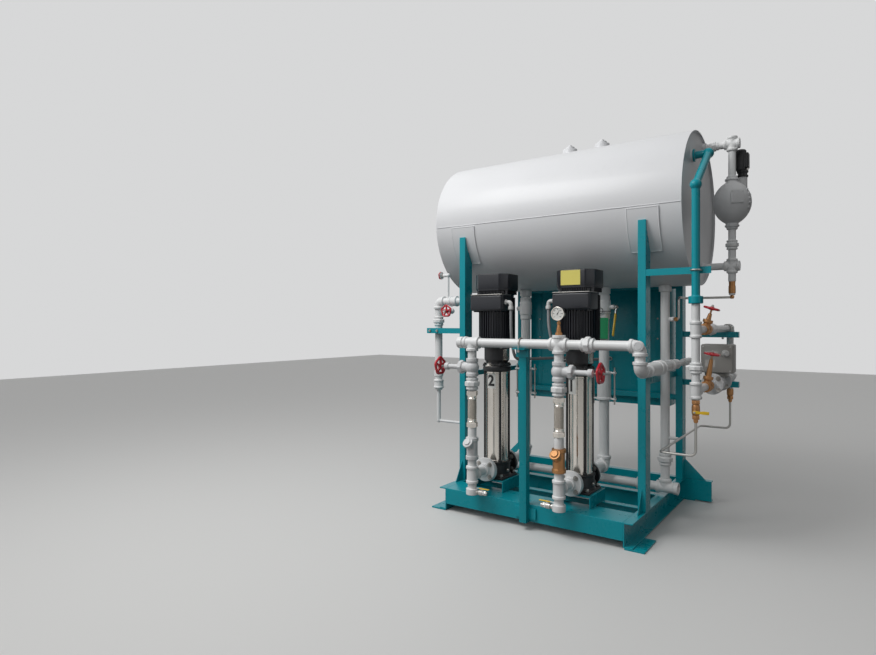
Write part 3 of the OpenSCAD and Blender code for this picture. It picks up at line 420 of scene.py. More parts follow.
def finishPiece(mesh, name, finish, replaced=(), body="unit", angle=32, bevel=0.0):
    # turns the built mesh into an object, shades it, gives it its finish and its body
    bmesh.ops.remove_doubles(mesh, verts=mesh.verts, dist=0.00001)
    bmesh.ops.recalc_face_normals(mesh, faces=mesh.faces)
    return placePiece(toData(mesh, name), name, finish, replaced, body, angle, bevel)


def placePiece(data, name, finish, replaced=(), body="unit", angle=32, bevel=0.0):
    data.materials.clear()
    data.materials.append(materials[finish])
    data.shade_smooth()
    data.set_sharp_from_angle(angle=math.radians(angle))
    piece = bpy.data.objects.new(name, data)
    bpy.context.scene.collection.objects.link(piece)
    if bevel > 0:
        edge = piece.modifiers.new("softEdge", "BEVEL")
        edge.width = bevel
        edge.segments = 2
        edge.limit_method = "ANGLE"
        edge.angle_limit = math.radians(30)
        edge.harden_normals = False
    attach(piece, body)
    if replaced:
        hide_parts(*replaced)
    return piece


def evaluatedMesh(piece, name):
    graph = bpy.context.evaluated_depsgraph_get()
    data = bpy.data.meshes.new_from_object(piece.evaluated_get(graph))
    data.name = name
    return data


def mergedCopy(node):
    mesh = bmesh.new()
    mesh.from_mesh(nodes[node].data)
    bmesh.ops.remove_doubles(mesh, verts=mesh.verts, dist=0.00002)
    return mesh


def camelName(node):
    first, *rest = node.split("_")
    return first + "".join(word.capitalize() for word in rest)


# rolled sections and plates: the CAD shape with its edges rounded to a real radius
def softCopy(node, finish, radius):
    mesh = mergedCopy(node)
    bmesh.ops.dissolve_limit(mesh, angle_limit=math.radians(2), verts=mesh.verts, edges=mesh.edges)
    name = camelName(node)
    piece = placePiece(toData(mesh, name), name, finish, (node,), angle=25, bevel=radius)
    piece.modifiers["softEdge"].segments = 3


# cast and painted pipework: the CAD shape remeshed, so that bands and branches run into each other
def castCopy(node, finish, voxel, keep, without=None):
    name = camelName(node)
    maker = bpy.data.objects.new(name + "Maker", toData(mergedCopy(node), name))
    bpy.context.scene.collection.objects.link(maker)
    remesh = maker.modifiers.new("skin", "REMESH")
    remesh.mode = "VOXEL"
    remesh.voxel_size = voxel
    remesh.use_smooth_shade = True
    smooth = maker.modifiers.new("ease", "SMOOTH")
    smooth.iterations = 2
    smooth.factor = 0.5
    thin = maker.modifiers.new("thin", "DECIMATE")
    thin.ratio = keep
    result = evaluatedMesh(maker, name)
    bpy.data.objects.remove(maker)
    if without:
        # leaves out a part of the shape that gets a piece of its own, and closes the cut
        mesh = bmesh.new()
        mesh.from_mesh(result)
        gone = [v for v in mesh.verts if without(v.co)]
        bmesh.ops.delete(mesh, geom=gone, context="VERTS")
        bmesh.ops.holes_fill(mesh, edges=[e for e in mesh.edges if e.is_boundary], sides=0)
        mesh.to_mesh(result)
        mesh.free()
    placePiece(result, name, finish, (node,), angle=60)


# stand, base and brackets: each node and the radius of its edges
standRadius = {
    "post_front_left": 0.008, "post_front_right": 0.008, "post_back_left": 0.008,
    "post_back_right": 0.008, "side_beams": 0.002, "front_deck": 0.002, "cross_beams": 0.002,
    "back_beam": 0.002, "foot_plates": 0.0015, "end_ties": 0.0015, "pump_pedestals": 0.002,
    "panel_rails": 0.003, "pipe_support_post": 0.002, "pipe_brackets": 0.002,
}
for node, radius in standRadius.items():
    softCopy(node, "tealEnamel", radius)
print("stand made")

# pipework: each node's finish, the size of its voxels and the share of faces kept
castParts = {
    "discharge_header": ("pipePaint", 0.0018, 0.22),
    "discharge_outlet": ("pipePaint", 0.0018, 0.25),
    "discharge_risers": ("pipePaint", 0.0020, 0.22), "check_valve_1": ("bronzeCast", 0.0022, 0.6),
    "check_valve_2": ("castPaint", 0.0022, 0.6), "discharge_valves": ("castPaint", 0.0024, 0.5),
    "suction_lines": ("pipePaint", 0.0032, 0.35), "overflow_line": ("pipePaint", 0.0030, 0.5),
    "bottom_header": ("pipePaint", 0.0030, 0.5), "vent_riser": ("tealEnamel", 0.0030, 0.5),
    "float_column": ("pipePaint", 0.0026, 0.5), "float_chamber": ("castPaint", 0.0030, 0.5),
    "makeup_pipework": ("pipePaint", 0.0026, 0.35), "makeup_valves": ("bronzeCast", 0.0022, 0.5),
    "control_valve": ("castPaint", 0.0026, 0.5), "left_line": ("pipePaint", 0.0026, 0.35),
    "tank_plugs": ("tankPrimer", 0.0014, 0.4),
}
# the air cock's wheel, on the left line, is a piece of its own
leftOut = {"left_line": lambda co: co.x < -0.948 and co.z > 1.62}
for node, (finish, voxel, keep) in castParts.items():
    castCopy(node, finish, voxel, keep, leftOut.get(node))
print("pipework made")

# the CAD nodes that keep their own shape
for node in ("tank_shell", "tank_head_left", "tank_head_right", "saddle_pads"):
    data = nodes[node].data
    data.materials.clear()
    data.materials.append(materials["tankPrimer"])


# repeats made with geometry nodes
def makeRepeatTree(name, extra):
    tree = bpy.data.node_groups.new(name, "GeometryNodeTree")
    tree.interface.new_socket("Geometry", in_out="INPUT", socket_type="NodeSocketGeometry")
    for label, kind, value in extra:
        socket = tree.interface.new_socket(label, in_out="INPUT", socket_type="NodeSocket" + kind)
        if value is not None:
            socket.default_value = value
    tree.interface.new_socket("Geometry", in_out="OUTPUT", socket_type="NodeSocketGeometry")
    return tree, tree.nodes.new("NodeGroupInput"), tree.nodes.new("NodeGroupOutput")


def linkAll(tree, pairs):
    for first, second in pairs:
        tree.links.new(first, second)


def finishTree(tree, start, end, geometry):
    real = tree.nodes.new("GeometryNodeRealizeInstances")
    paint = tree.nodes.new("GeometryNodeSetMaterial")
    linkAll(tree, [(geometry, real.inputs[0]), (real.outputs[0], paint.inputs["Geometry"]),
                   (start.outputs["Finish"], paint.inputs["Material"]),
                   (paint.outputs[0], end.inputs[0])])


def makeBoltRing():
    # bolts with a head, a washer and a nut, evenly around a circle
    tree, start, end = makeRepeatTree("boltRing", [
        ("Count", "Int", 4), ("Radius", "Float", 0.06), ("Size", "Float", 0.014),
        ("Grip", "Float", 0.04), ("Finish", "Material", None)])
    def sized(factor):
        return times(tree, start.outputs["Size"], factor)

    circle = tree.nodes.new("GeometryNodeMeshCircle")
    shank, head, washer = [tree.nodes.new("GeometryNodeMeshCylinder") for k in range(3)]
    for part, sides in ((shank, 12), (head, 6), (washer, 20)):
        part.inputs["Vertices"].default_value = sides
    tall, thin = sized(0.8), sized(0.16)
    long = plus(tree, start.outputs["Grip"], sized(2.4))
    linkAll(tree, [(start.outputs["Count"], circle.inputs["Vertices"]),
                   (start.outputs["Radius"], circle.inputs["Radius"]),
                   (sized(0.55), shank.inputs["Radius"]), (long, shank.inputs["Depth"]),
                   (sized(1.0), head.inputs["Radius"]), (tall, head.inputs["Depth"]),
                   (sized(1.25), washer.inputs["Radius"]), (thin, washer.inputs["Depth"])])
    joined = tree.nodes.new("GeometryNodeJoinGeometry")
    tree.links.new(shank.outputs["Mesh"], joined.inputs[0])
    half = times(tree, start.outputs["Grip"], 0.5)
    for part, offset in ((washer, thin), (head, tall)):
        reach = plus(tree, half, times(tree, offset, 0.5))
        for side in (1, -1):
            shift = tree.nodes.new("ShaderNodeCombineXYZ")
            tree.links.new(times(tree, reach, side), shift.inputs["Z"])
            move = tree.nodes.new("GeometryNodeTransform")
            linkAll(tree, [(part.outputs["Mesh"], move.inputs["Geometry"]),
                           (shift.outputs[0], move.inputs["Translation"]),
                           (move.outputs[0], joined.inputs[0])])
    spread = tree.nodes.new("GeometryNodeInstanceOnPoints")
    linkAll(tree, [(circle.outputs["Mesh"], spread.inputs["Points"]),
                   (joined.outputs[0], spread.inputs["Instance"])])
    finishTree(tree, start, end, spread.outputs[0])
    return tree


def makeFinRing():
    # upright fins around a barrel, standing on the origin's plane
    tree, start, end = makeRepeatTree("finRing", [
        ("Count", "Int", 24), ("Radius", "Float", 0.1), ("Deep", "Float", 0.016),
        ("Thick", "Float", 0.004), ("Height", "Float", 0.2), ("Finish", "Material", None)])
    circle = tree.nodes.new("GeometryNodeMeshCircle")
    fin = tree.nodes.new("GeometryNodeMeshCube")
    size = tree.nodes.new("ShaderNodeCombineXYZ")
    lift = tree.nodes.new("ShaderNodeCombineXYZ")
    move = tree.nodes.new("GeometryNodeTransform")
    aim = tree.nodes.new("FunctionNodeAlignEulerToVector")
    aim.axis = "X"
    where = tree.nodes.new("GeometryNodeInputPosition")
    spread = tree.nodes.new("GeometryNodeInstanceOnPoints")
    half = times(tree, start.outputs["Height"], 0.5)
    linkAll(tree, [(start.outputs["Count"], circle.inputs["Vertices"]),
                   (start.outputs["Radius"], circle.inputs["Radius"]),
                   (start.outputs["Deep"], size.inputs["X"]),
                   (start.outputs["Thick"], size.inputs["Y"]),
                   (start.outputs["Height"], size.inputs["Z"]),
                   (size.outputs[0], fin.inputs["Size"]),
                   (half, lift.inputs["Z"]), (fin.outputs["Mesh"], move.inputs["Geometry"]),
                   (lift.outputs[0], move.inputs["Translation"]),
                   (where.outputs[0], aim.inputs["Vector"]),
                   (circle.outputs["Mesh"], spread.inputs["Points"]),
                   (move.outputs[0], spread.inputs["Instance"]),
                   (aim.outputs[0], spread.inputs["Rotation"])])
    finishTree(tree, start, end, spread.outputs[0])
    return tree


boltRing = makeBoltRing()
finRing = makeFinRing()


def addRepeat(mesh, tree, place, axis, values, turn=0.0):
    # runs the node tree once and adds its faces to a mesh being built, along an axis
    data = bpy.data.meshes.new("seed")
    seed = bpy.data.objects.new("seed", data)
    bpy.context.scene.collection.objects.link(seed)
    modifier = seed.modifiers.new("repeat", "NODES")
    modifier.node_group = tree
    for item in tree.interface.items_tree:
        if item.in_out == "INPUT" and item.name in values:
            modifier[item.identifier] = values[item.name]
    seed.update_tag()
    made = evaluatedMesh(seed, "made")
    bpy.data.objects.remove(seed)
    turned = Vector(axis).normalized().to_track_quat("Z", "X").to_matrix().to_4x4()
    made.transform(Matrix.Translation(Vector(place)) @ turned @ Matrix.Rotation(turn, 4, "Z"))
    mesh.from_mesh(made)
    bpy.data.meshes.remove(made)


def boltsOn(mesh, place, axis, radius, count=4, size=0.014, grip=0.04, turn=math.pi / 4,
            finish="zincBolt"):
    addRepeat(mesh, boltRing, place, axis,
              {"Count": count, "Radius": radius, "Size": size, "Grip": grip,
               "Finish": materials[finish]}, turn)


def middle(node):
    low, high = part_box(node)
    return low, high, (low + high) / 2


def addText(mesh, text, size, placeIt, depth=0.0004, bold=0.0):
    # raised figures; placeIt turns (u, v, w) on the plate into a point
    curve = bpy.data.curves.new("figures", "FONT")
    curve.body = text
    curve.size = size
    curve.align_x = "CENTER"
    curve.align_y = "CENTER"
    curve.offset = bold
    curve.extrude = depth / 2
    curve.resolution_u = 6
    maker = bpy.data.objects.new("figures", curve)
    bpy.context.scene.collection.objects.link(maker)
    made = evaluatedMesh(maker, "figures")
    bpy.data.objects.remove(maker)
    # upright cuts let the figures follow a round plate
    cut = bmesh.new()
    cut.from_mesh(made)
    bmesh.ops.remove_doubles(cut, verts=cut.verts, dist=0.00001)
    for k in range(-4, 5):
        bmesh.ops.bisect_plane(cut, geom=cut.verts[:] + cut.edges[:] + cut.faces[:],
                               plane_co=(k * size * 0.08, 0, 0), plane_no=(1, 0, 0))
    for vertex in cut.verts:
        vertex.co = placeIt(vertex.co.x, vertex.co.y, vertex.co.z)
    cut.to_mesh(made)
    cut.free()
    mesh.from_mesh(made)
    bpy.data.meshes.remove(made)


# pumps
pumpLook = {
    "sleeveR": 0.080, "footR": 0.096, "headR": 0.102, "portH": 0.078, "headAt": 0.770,
    "headH": 0.040,
    "stayR": 0.0075, "stayOut": 0.091, "stoolR": 0.080, "flare": 0.012, "window": 0.042,
    "shaftR": 0.014, "couplingR": 0.030, "flangeR": 0.0825, "flangeOut": 0.160, "boltOut": 0.0625,
    "footX": 0.086, "footY": 0.090, "plateW": 0.070, "plateH": 0.108, "plateZ": 0.937,
    "figure": 0.108, "plateTurn": {1: -0.38, 2: -0.05},
}
footCorners = [(sx, sy) for sx in (-1, 1) for sy in (-1, 1)]
quarters = [math.pi / 4 + k * math.pi / 2 for k in range(4)]


def roundPlate(mesh, centre, radius, turn, width, height, thick, steps=12):
    # a thin plate bent round an upright cylinder; turn is measured from -Y towards +X
    def at(u, v, w):
        angle = turn + u / radius
        r = radius + w
        return Vector((centre.x + math.sin(angle) * r, centre.y - math.cos(angle) * r,
                       centre.z + v))
    edge = ((-height / 2, 0), (height / 2, 0), (height / 2, thick), (-height / 2, thick))
    stitch(mesh, [[mesh.verts.new(at(-width / 2 + width * k / steps, v, w)) for v, w in edge]
                  for k in range(steps + 1)])
    return at


def makePump(number):
    look = pumpLook
    node = f"pump_{number}_casing"
    low, high, mid = middle(node)
    x, y, floor, top = mid.x, mid.y, low.z, high.z
    portZ, headZ = floor + look["portH"], floor + look["headAt"]
    stoolZ = headZ + look["headH"]
    tall = top - stoolZ
    flange, foot, head, flare = look["flangeR"], look["footR"], look["headR"], look["flare"]

    def done(mesh, part, finish):
        finishPiece(mesh, f"pump{number}{part}", finish, (node,))

    steel, sleeve = bmesh.new(), look["sleeveR"]
    addLathe(steel, (x, y, 0), Z, [
        (floor + 0.118, sleeve - 0.004), (floor + 0.118, sleeve + 0.004),
        (floor + 0.130, sleeve + 0.004), (floor + 0.133, sleeve), (headZ - 0.016, sleeve),
        (headZ - 0.013, sleeve + 0.003), (headZ, sleeve + 0.003), (headZ, sleeve - 0.004)], 72)
    done(steel, "Sleeve", "stainless")

    cast, base = bmesh.new(), 0.108
    addBox(cast, (x - base, y - 0.112, floor), (x + base, y + 0.112, floor + 0.020), 0.006, 3)
    addLathe(cast, (x, y, floor), Z, [
        (0.018, 0.106), (0.026, 0.104), (0.034, 0.097), (0.106, foot), (0.112, foot + 0.006),
        (0.120, foot + 0.006), (0.122, 0.080), (0.122, 0)], 56)
    for side in (-1, 1):
        addLathe(cast, (x, y, portZ), (0, side, 0), [
            (0.02, 0.052), (0.100, 0.050), (0.112, 0.046), (0.138, 0.046), (0.142, 0.052),
            (0.142, 0)], 40)
    for sx, sy in footCorners:
        addLathe(cast, (x + sx * look["footX"], y + sy * look["footY"], floor + 0.018), Z,
                 [(0, 0.020), (0.008, 0.018), (0.008, 0)], 20)
    addLathe(cast, (x, y, headZ), Z, [
        (-0.002, 0), (-0.002, 0.086), (0.002, head - 0.004), (0.006, head), (0.030, head),
        (0.036, head - 0.003), (0.040, 0.090), (0.040, 0)], 64)
    done(cast, "Castings", "castBlack")

    for side, part, finish in ((-1, "FrontFlange", "castPaint"), (1, "RearFlange", "castBlack")):
        plate = bmesh.new()
        addLathe(plate, (x, y + side * look["flangeOut"], portZ), Y * -side, [
            (0.0005, 0), (0.0005, flange - 0.003), (0.003, flange), (0.017, flange),
            (0.020, flange - 0.003), (0.020, 0.050), (0.034, 0.044), (0.034, 0)], 56)
        done(plate, part, finish)

    # the lantern between pump and motor: two walls with arched windows, facing +X and -X
    lantern, inner = bmesh.new(), 0.066
    rim = look["stoolR"] + 0.001
    addLathe(lantern, (x, y, stoolZ), Z, [
        (0, 0.086), (0.010, 0.086), (0.014, rim), (0.022, rim), (0.022, inner), (0, inner)], 56,
        loop=True)
    addLathe(lantern, (x, y, stoolZ), Z, [
        (tall - 0.022, 0.078), (tall - 0.022, 0.093), (tall - 0.014, 0.098),
        (tall - 0.010, 0.118), (tall, 0.118), (tall, 0.078)], 56, loop=True)
    half = math.asin(look["window"] / look["stoolR"])
    spread, steps = math.pi / 2 - half, 12
    section = ((0.018, 0), (0.028, 0), (0.046, flare), (tall - 0.018, flare),
               (tall - 0.018, flare + 0.014), (0.046, flare + 0.014), (0.028, 0.014),
               (0.018, 0.014))
    for face in (-math.pi / 2, math.pi / 2):
        columns = []
        for k in range(steps + 1):
            a = face - spread + 2 * spread * k / steps
            columns.append([lantern.verts.new((x + math.cos(a) * (inner + w),
                                               y + math.sin(a) * (inner + w), stoolZ + v))
                            for v, w in section])
        stitch(lantern, columns)
    done(lantern, "Lantern", "castBlack")

    shaft = bmesh.new()
    addBar(shaft, (x, y, stoolZ), (x, y, top - 0.004), look["shaftR"], 20)
    addLathe(shaft, (x, y, stoolZ + 0.030), Z, [
        (0, 0.018), (0.002, look["couplingR"]), (0.078, look["couplingR"]), (0.080, 0.018)], 32)
    for a in quarters:
        addNut(shaft, (x + math.cos(a) * 0.029, y + math.sin(a) * 0.029, stoolZ + 0.07),
               (math.cos(a), math.sin(a), 0), 0.014, 0.010)
    # air-vent casting on the head, with its screw
    vent = Vector((x - 0.018, y - 0.056, stoolZ))
    addLathe(shaft, vent - Z * 0.002, Z, [
        (0, 0.046), (0.004, 0.046), (0.010, 0.040), (0.028, 0.022), (0.031, 0.016), (0.034, 0)], 32)
    addNut(shaft, vent + Z * 0.036, Z, 0.022, 0.012)
    done(shaft, "Coupling", "stainless")

    # slotted guards in the windows
    guard, r = bmesh.new(), 0.086
    for face in (0, math.pi):
        for k in range(9):
            u0, u1 = [face - half + 2 * half * (k + t) / 9 for t in (0.15, 0.85)]
            outline = [(math.cos(a) * q, math.sin(a) * q) for a, q in
                       ((u0, r), (u1, r), (u1, r + 0.0015), (u0, r + 0.0015))]
            addPrism(guard, outline, lambda u, v, w: Vector((x + u, y + v, stoolZ + 0.046 + w)),
                     tall - 0.074)
    for level in (0.044, tall - 0.036):
        addBand(guard, (x, y, stoolZ + level), Z, 0.0855, 0.0882, 0.010, 48)
    done(guard, "Guards", "stainless")

    stays = bmesh.new()
    for a in quarters:
        sx, sy = x + math.cos(a) * look["stayOut"], y + math.sin(a) * look["stayOut"]
        addBar(stays, (sx, sy, floor + 0.10), (sx, sy, stoolZ + 0.024), look["stayR"], 16, 0.002)
        addNut(stays, (sx, sy, stoolZ + 0.008), Z, 0.030, 0.016)
        addNut(stays, (sx, sy, floor + 0.128), Z, 0.030, 0.014)
        addLathe(stays, (sx, sy, stoolZ), Z, [(0, 0.018), (0.002, 0.018), (0.002, 0)], 20)
    done(stays, "Stays", "castBlack")

    bolts = bmesh.new()
    for sx, sy in footCorners:
        spot = Vector((x + sx * look["footX"], y + sy * look["footY"], floor + 0.026))
        addLathe(bolts, spot, Z, [(0, 0.014), (0.002, 0.014), (0.002, 0)], 20)
        addNut(bolts, spot + Z * 0.008, Z, 0.022, 0.011)
    for side in (-1, 1):
        boltsOn(bolts, (x, y + side * look["flangeOut"], portZ), Y, look["boltOut"], 4, 0.0135,
                0.042)
        # a drain plug on the casing
        addNut(bolts, (x + side * 0.101, y - 0.02, floor + 0.060), X, 0.022, 0.014)
    done(bolts, "Bolts", "zincBolt")

    plate, digit = bmesh.new(), bmesh.new()
    at = roundPlate(plate, Vector((x, y, look["plateZ"])), sleeve + 0.0003,
                    look["plateTurn"][number], look["plateW"], look["plateH"], 0.0008)
    done(plate, "NumberPlate", "labelWhite")
    addText(digit, str(number), look["figure"], lambda u, v, w: at(u, v, 0.0012 + w), 0.0006,
            0.0034)
    done(digit, "Number", "blackPlastic")


for number in (1, 2):
    makePump(number)
print("pumps made")


# motors
motorLook = {
    "coreR": 0.121, "fins": 44, "finDeep": 0.0125, "finThick": 0.0042, "coverCorner": 0.050,
    "coverH": 0.112, "neckH": 0.036, "driveH": 0.118, "driveTop": 0.148,
    "driveW": 0.264, "driveFront": 0.165, "driveBack": 0.015,
}


def octagon(halfX, halfY, corner):
    return [(-halfX, corner - halfY), (corner - halfX, -halfY), (halfX - corner, -halfY),
            (halfX, corner - halfY), (halfX, halfY - corner), (halfX - corner, halfY),
            (corner - halfX, halfY), (-halfX, halfY - corner)]


def makeMotor(number):
    look = motorLook
    node = f"pump_{number}_motor"
    low, high, mid = middle(node)
    x, y, foot, top = mid.x, pumpY, low.z, high.z
    core, corner = look["coreR"], look["coverCorner"]
    coverFoot = top - look["coverH"]
    driveTop = top - look["driveTop"]
    driveFoot = driveTop - look["driveH"]
    barrelH = driveTop - foot

    def done(mesh, part, finish, angle=32):
        finishPiece(mesh, f"motor{number}{part}", finish, (node,), angle=angle)

    def up(z):
        return lambda u, v, w: Vector((x + u, y + v, z + w))

    barrel = bmesh.new()
    addLathe(barrel, (x, y, foot), Z, [
        (0, 0), (0, 0.121), (0.003, 0.124), (0.015, 0.124), (0.019, 0.122), (0.024, 0.121),
        (0.044, 0.121), (0.050, core), (barrelH - 0.020, core), (barrelH - 0.014, 0.123),
        (barrelH, 0.123), (barrelH, 0)], 64)
    addRepeat(barrel, finRing, (x, y, foot + 0.044), Z, {
        "Count": look["fins"], "Radius": core + look["finDeep"] / 2 - 0.001,
        "Deep": look["finDeep"],
        "Thick": look["finThick"], "Height": barrelH - 0.064, "Finish": materials["motorBlack"]})
    done(barrel, "Barrel", "motorBlack")

    # the cover: an eight-sided cap with a lip, on a neck of ribs
    cover = bmesh.new()
    addPrism(cover, octagon(0.135, 0.125, corner), up(coverFoot), look["coverH"], 0.007)
    addPrism(cover, octagon(0.131, 0.121, corner), up(coverFoot - 0.008), 0.012, 0.001)
    addPrism(cover, octagon(0.108, 0.098, 0.040), up(driveTop - 0.002), look["neckH"] + 0.004,
             0.002)
    # ribs front and back, then at both sides: aim, how many, half the row, from and to
    for aim, count, row, near, far in ((Y, 15, 0.082, 0.096, 0.115), (X, 12, 0.070, 0.106, 0.125)):
        across = X if aim == Y else Y
        for side in (-1, 1):
            inner, outer = sorted((side * near, side * far))
            for k in range(count):
                u = -row + 2 * row * k / (count - 1)
                low = across * (u - 0.002) + aim * inner
                high = across * (u + 0.002) + aim * outer
                addBox(cover, (x + low.x, y + low.y, driveTop),
                       (x + high.x, y + high.y, coverFoot - 0.004))
    done(cover, "Cover", "motorBlack")

    # the round grille in the top of the cover
    grille = bmesh.new()
    for r, wide in [(0.088, 0.006)] + [(0.018 + k * 0.010, 0.004) for k in range(7)]:
        addBand(grille, (x, y, top - 0.001), Z, r, r + wide, 0.0009, 48)
    done(grille, "Grille", "blackPlastic")

    drive, half = bmesh.new(), look["driveW"] / 2
    front, back = y - look["driveFront"], y - look["driveBack"]
    addBox(drive, (x - half, front + 0.012, driveFoot), (x + half, back, driveTop - 0.004),
           0.012, 4)
    addBox(drive, (x - half + 0.004, front, driveFoot + 0.006),
           (x + half - 0.004, front + 0.030, driveTop - 0.010), 0.009, 4)
    # cooling ribs under the box
    for k in range(9):
        u = -half + 0.022 + (look["driveW"] - 0.044) * k / 8
        addBox(drive, (x + u - 0.0018, front + 0.022, driveFoot - 0.008),
               (x + u + 0.0018, back - 0.01, driveFoot + 0.006))
    done(drive, "Drive", "motorBlack", 28)

    # a pale metal strip along the top edge of the drive box: partly the lid's real rim, partly a
    # painted highlight on that edge
    lidHighlight = bmesh.new()
    addBox(lidHighlight, (x - half + 0.003, front + 0.004, driveTop - 0.0055),
           (x + half - 0.003, back - 0.004, driveTop - 0.0005), 0.002, 2)
    done(lidHighlight, "Lid", "zincBolt")

    caps = bmesh.new()
    for sx in (-1, 1):
        for v in (driveFoot + 0.020, driveTop - 0.024):
            addLathe(caps, (x + sx * (half - 0.018), front, v), -Y,
                     [(-0.004, 0.0052), (0.0006, 0.0052), (0.0016, 0.0040), (0.0016, 0)], 16)
        for v in (coverFoot + 0.014, top - 0.016):
            addLathe(caps, (x + sx * 0.132, y - 0.050, v), (sx, 0, 0),
                     [(0, 0.0045), (0.0038, 0.0040), (0.0042, 0)], 16)
    done(caps, "Caps", "castBlack")
    screws = bmesh.new()
    for a in (0.79, 2.36, 3.93, 5.50):
        addNut(screws, (x + math.cos(a) * 0.107, y + math.sin(a) * 0.107, foot - 0.0145), Z,
               0.018, 0.009)
    done(screws, "Screws", "zincBolt")
    return {"x": x, "y": y, "half": half, "driveTop": driveTop, "coverFoot": coverFoot, "top": top}


pumpY = middle("pump_1_casing")[2].y
motorSpots = {number: makeMotor(number) for number in (1, 2)}

# a blank sticker on the first motor's cover and a blank plate on its barrel
sticker = bmesh.new()
spot = motorSpots[1]
x, y = spot["x"], spot["y"]
addBox(sticker, (x - 0.083, y - 0.1256, spot["coverFoot"] + 0.009),
       (x + 0.052, y - 0.1246, spot["top"] - 0.006))
finishPiece(sticker, "motorSticker", "labelYellow", ("pump_1_motor",))
tag = bmesh.new()
roundPlate(tag, Vector((x, y, 1.335)), 0.1055, 0.86, 0.026, 0.046, 0.0012)
finishPiece(tag, "motorPlate", "labelWhite", ("pump_1_motor",))
print("motors made")


# handwheels
joints = frame["record"]["behaviour"]["joints"]
axisOf = {joint["child"]: Vector(joint["axis"]) for joint in joints}
pivotOf = {joint["child"]: Vector(joint["pos_m"]) for joint in joints}


def buildWheel(mesh, centre, axis, radius, rim, hub, lobes=5, boreR=0.0068):
    # a cast wheel: a lobed rim, dished tapering arms and a bored hub
    turned = Matrix.Translation(centre) @ axis.to_track_quat("Z", "X").to_matrix().to_4x4()
    wave = rim * 0.15
    mean = radius - rim / 2 - wave
    steps, around = 90, 12
    rings = []
    for a in [2 * math.pi * k / steps for k in range(steps)]:
        swell = 0.5 + 0.5 * math.cos(lobes * a)
        r = mean + wave * (2 * swell - 1)
        thick = rim / 2 * (0.84 + 0.16 * swell)
        ring = []
        for b in [2 * math.pi * n / around for n in range(around)]:
            out, lift = math.cos(b) * thick, math.sin(b) * rim * 0.46
            ring.append(mesh.verts.new(turned @ Vector((math.cos(a) * (r + out),
                                                        math.sin(a) * (r + out), lift))))
        rings.append(ring)
    stitch(mesh, rings, closed=True)
    addLathe(mesh, turned @ Vector((0, 0, -hub / 2)), axis, [
        (0, boreR), (0, boreR + 0.0060), (0.002, boreR + 0.0080), (hub - 0.003, boreR + 0.0075),
        (hub, boreR + 0.0050), (hub, boreR)], 28, loop=True)
    for k in range(lobes):
        a = 2 * math.pi * k / lobes
        side = Vector((math.cos(a), math.sin(a), 0))
        across = Vector((-math.sin(a), math.cos(a), 0))
        stations = []
        for t in (0, 0.25, 0.5, 0.75, 1):
            r = boreR + 0.004 + (mean + wave - boreR - 0.004) * t
            wide = rim * (0.54 - 0.16 * math.sin(math.pi * t))
            tall = rim * (0.42 - 0.08 * t)
            drop = -rim * 0.22 * (1 - t)
            stations.append([
                mesh.verts.new(turned @ (side * r + across * wide * u + Z * (drop + tall * v)))
                for u, v in ((-1, -0.5), (-0.6, -1), (0.6, -1), (1, -0.5),
                             (1, 0.5), (0.6, 1), (-0.6, 1), (-1, 0.5))])
        stitch(mesh, stations)


bigWheel, smallWheel = (0.069, 0.0205, 0.028), (0.052, 0.0155, 0.022)  # radius, rim and hub
wheelLook = {
    "handwheel_1": ("dischargeWheel1", bigWheel), "handwheel_2": ("dischargeWheel2", bigWheel),
    "makeup_wheel_upper": ("makeupWheelUpper", smallWheel),
    "makeup_wheel_lower": ("makeupWheelLower", smallWheel), "left_wheel": ("leftWheel", smallWheel),
}
wheelNuts = bmesh.new()
for node, (name, (radius, rim, hub)) in wheelLook.items():
    wheel = bmesh.new()
    axis, centre = axisOf[node], middle(node)[2]
    buildWheel(wheel, centre, axis, radius, rim, hub)
    finishPiece(wheel, name, "redEnamel", (node,), node, 50)
    addNut(wheelNuts, centre + axis * (hub / 2 + 0.0052), axis, 0.019, 0.0085)
    addBar(wheelNuts, centre - axis * 0.055, centre + axis * (hub / 2 + 0.013), 0.0058, 16, 0.001)
finishPiece(wheelNuts, "wheelNuts", "zincBolt")

# the air cock at the top of the left line
cockWheel, cockStem = bmesh.new(), bmesh.new()
cockY, cockZ = -0.4096, 1.737
buildWheel(cockWheel, Vector((-0.957, cockY, cockZ)), X, 0.033, 0.0095, 0.014, 5, 0.004)
finishPiece(cockWheel, "airCockWheel", "redEnamel", angle=50)
addBar(cockStem, (-0.966, cockY, cockZ), (-0.930, cockY, cockZ), 0.0038, 14)
addNut(cockStem, (-0.936, cockY, cockZ), X, 0.030, 0.016)
finishPiece(cockStem, "airCockStem", "zincBolt")
print("handwheels made")

# discharge risers: braided hoses with their ends, drain cocks and their handles
riserLook = {"hoseR": 0.0285, "endR": 0.039, "endH": 0.034, "ferruleR": 0.0325}
riserY = middle("flex_connectors")[2].y
riserXs = [middle(f"pump_{number}_casing")[2].x for number in (1, 2)]


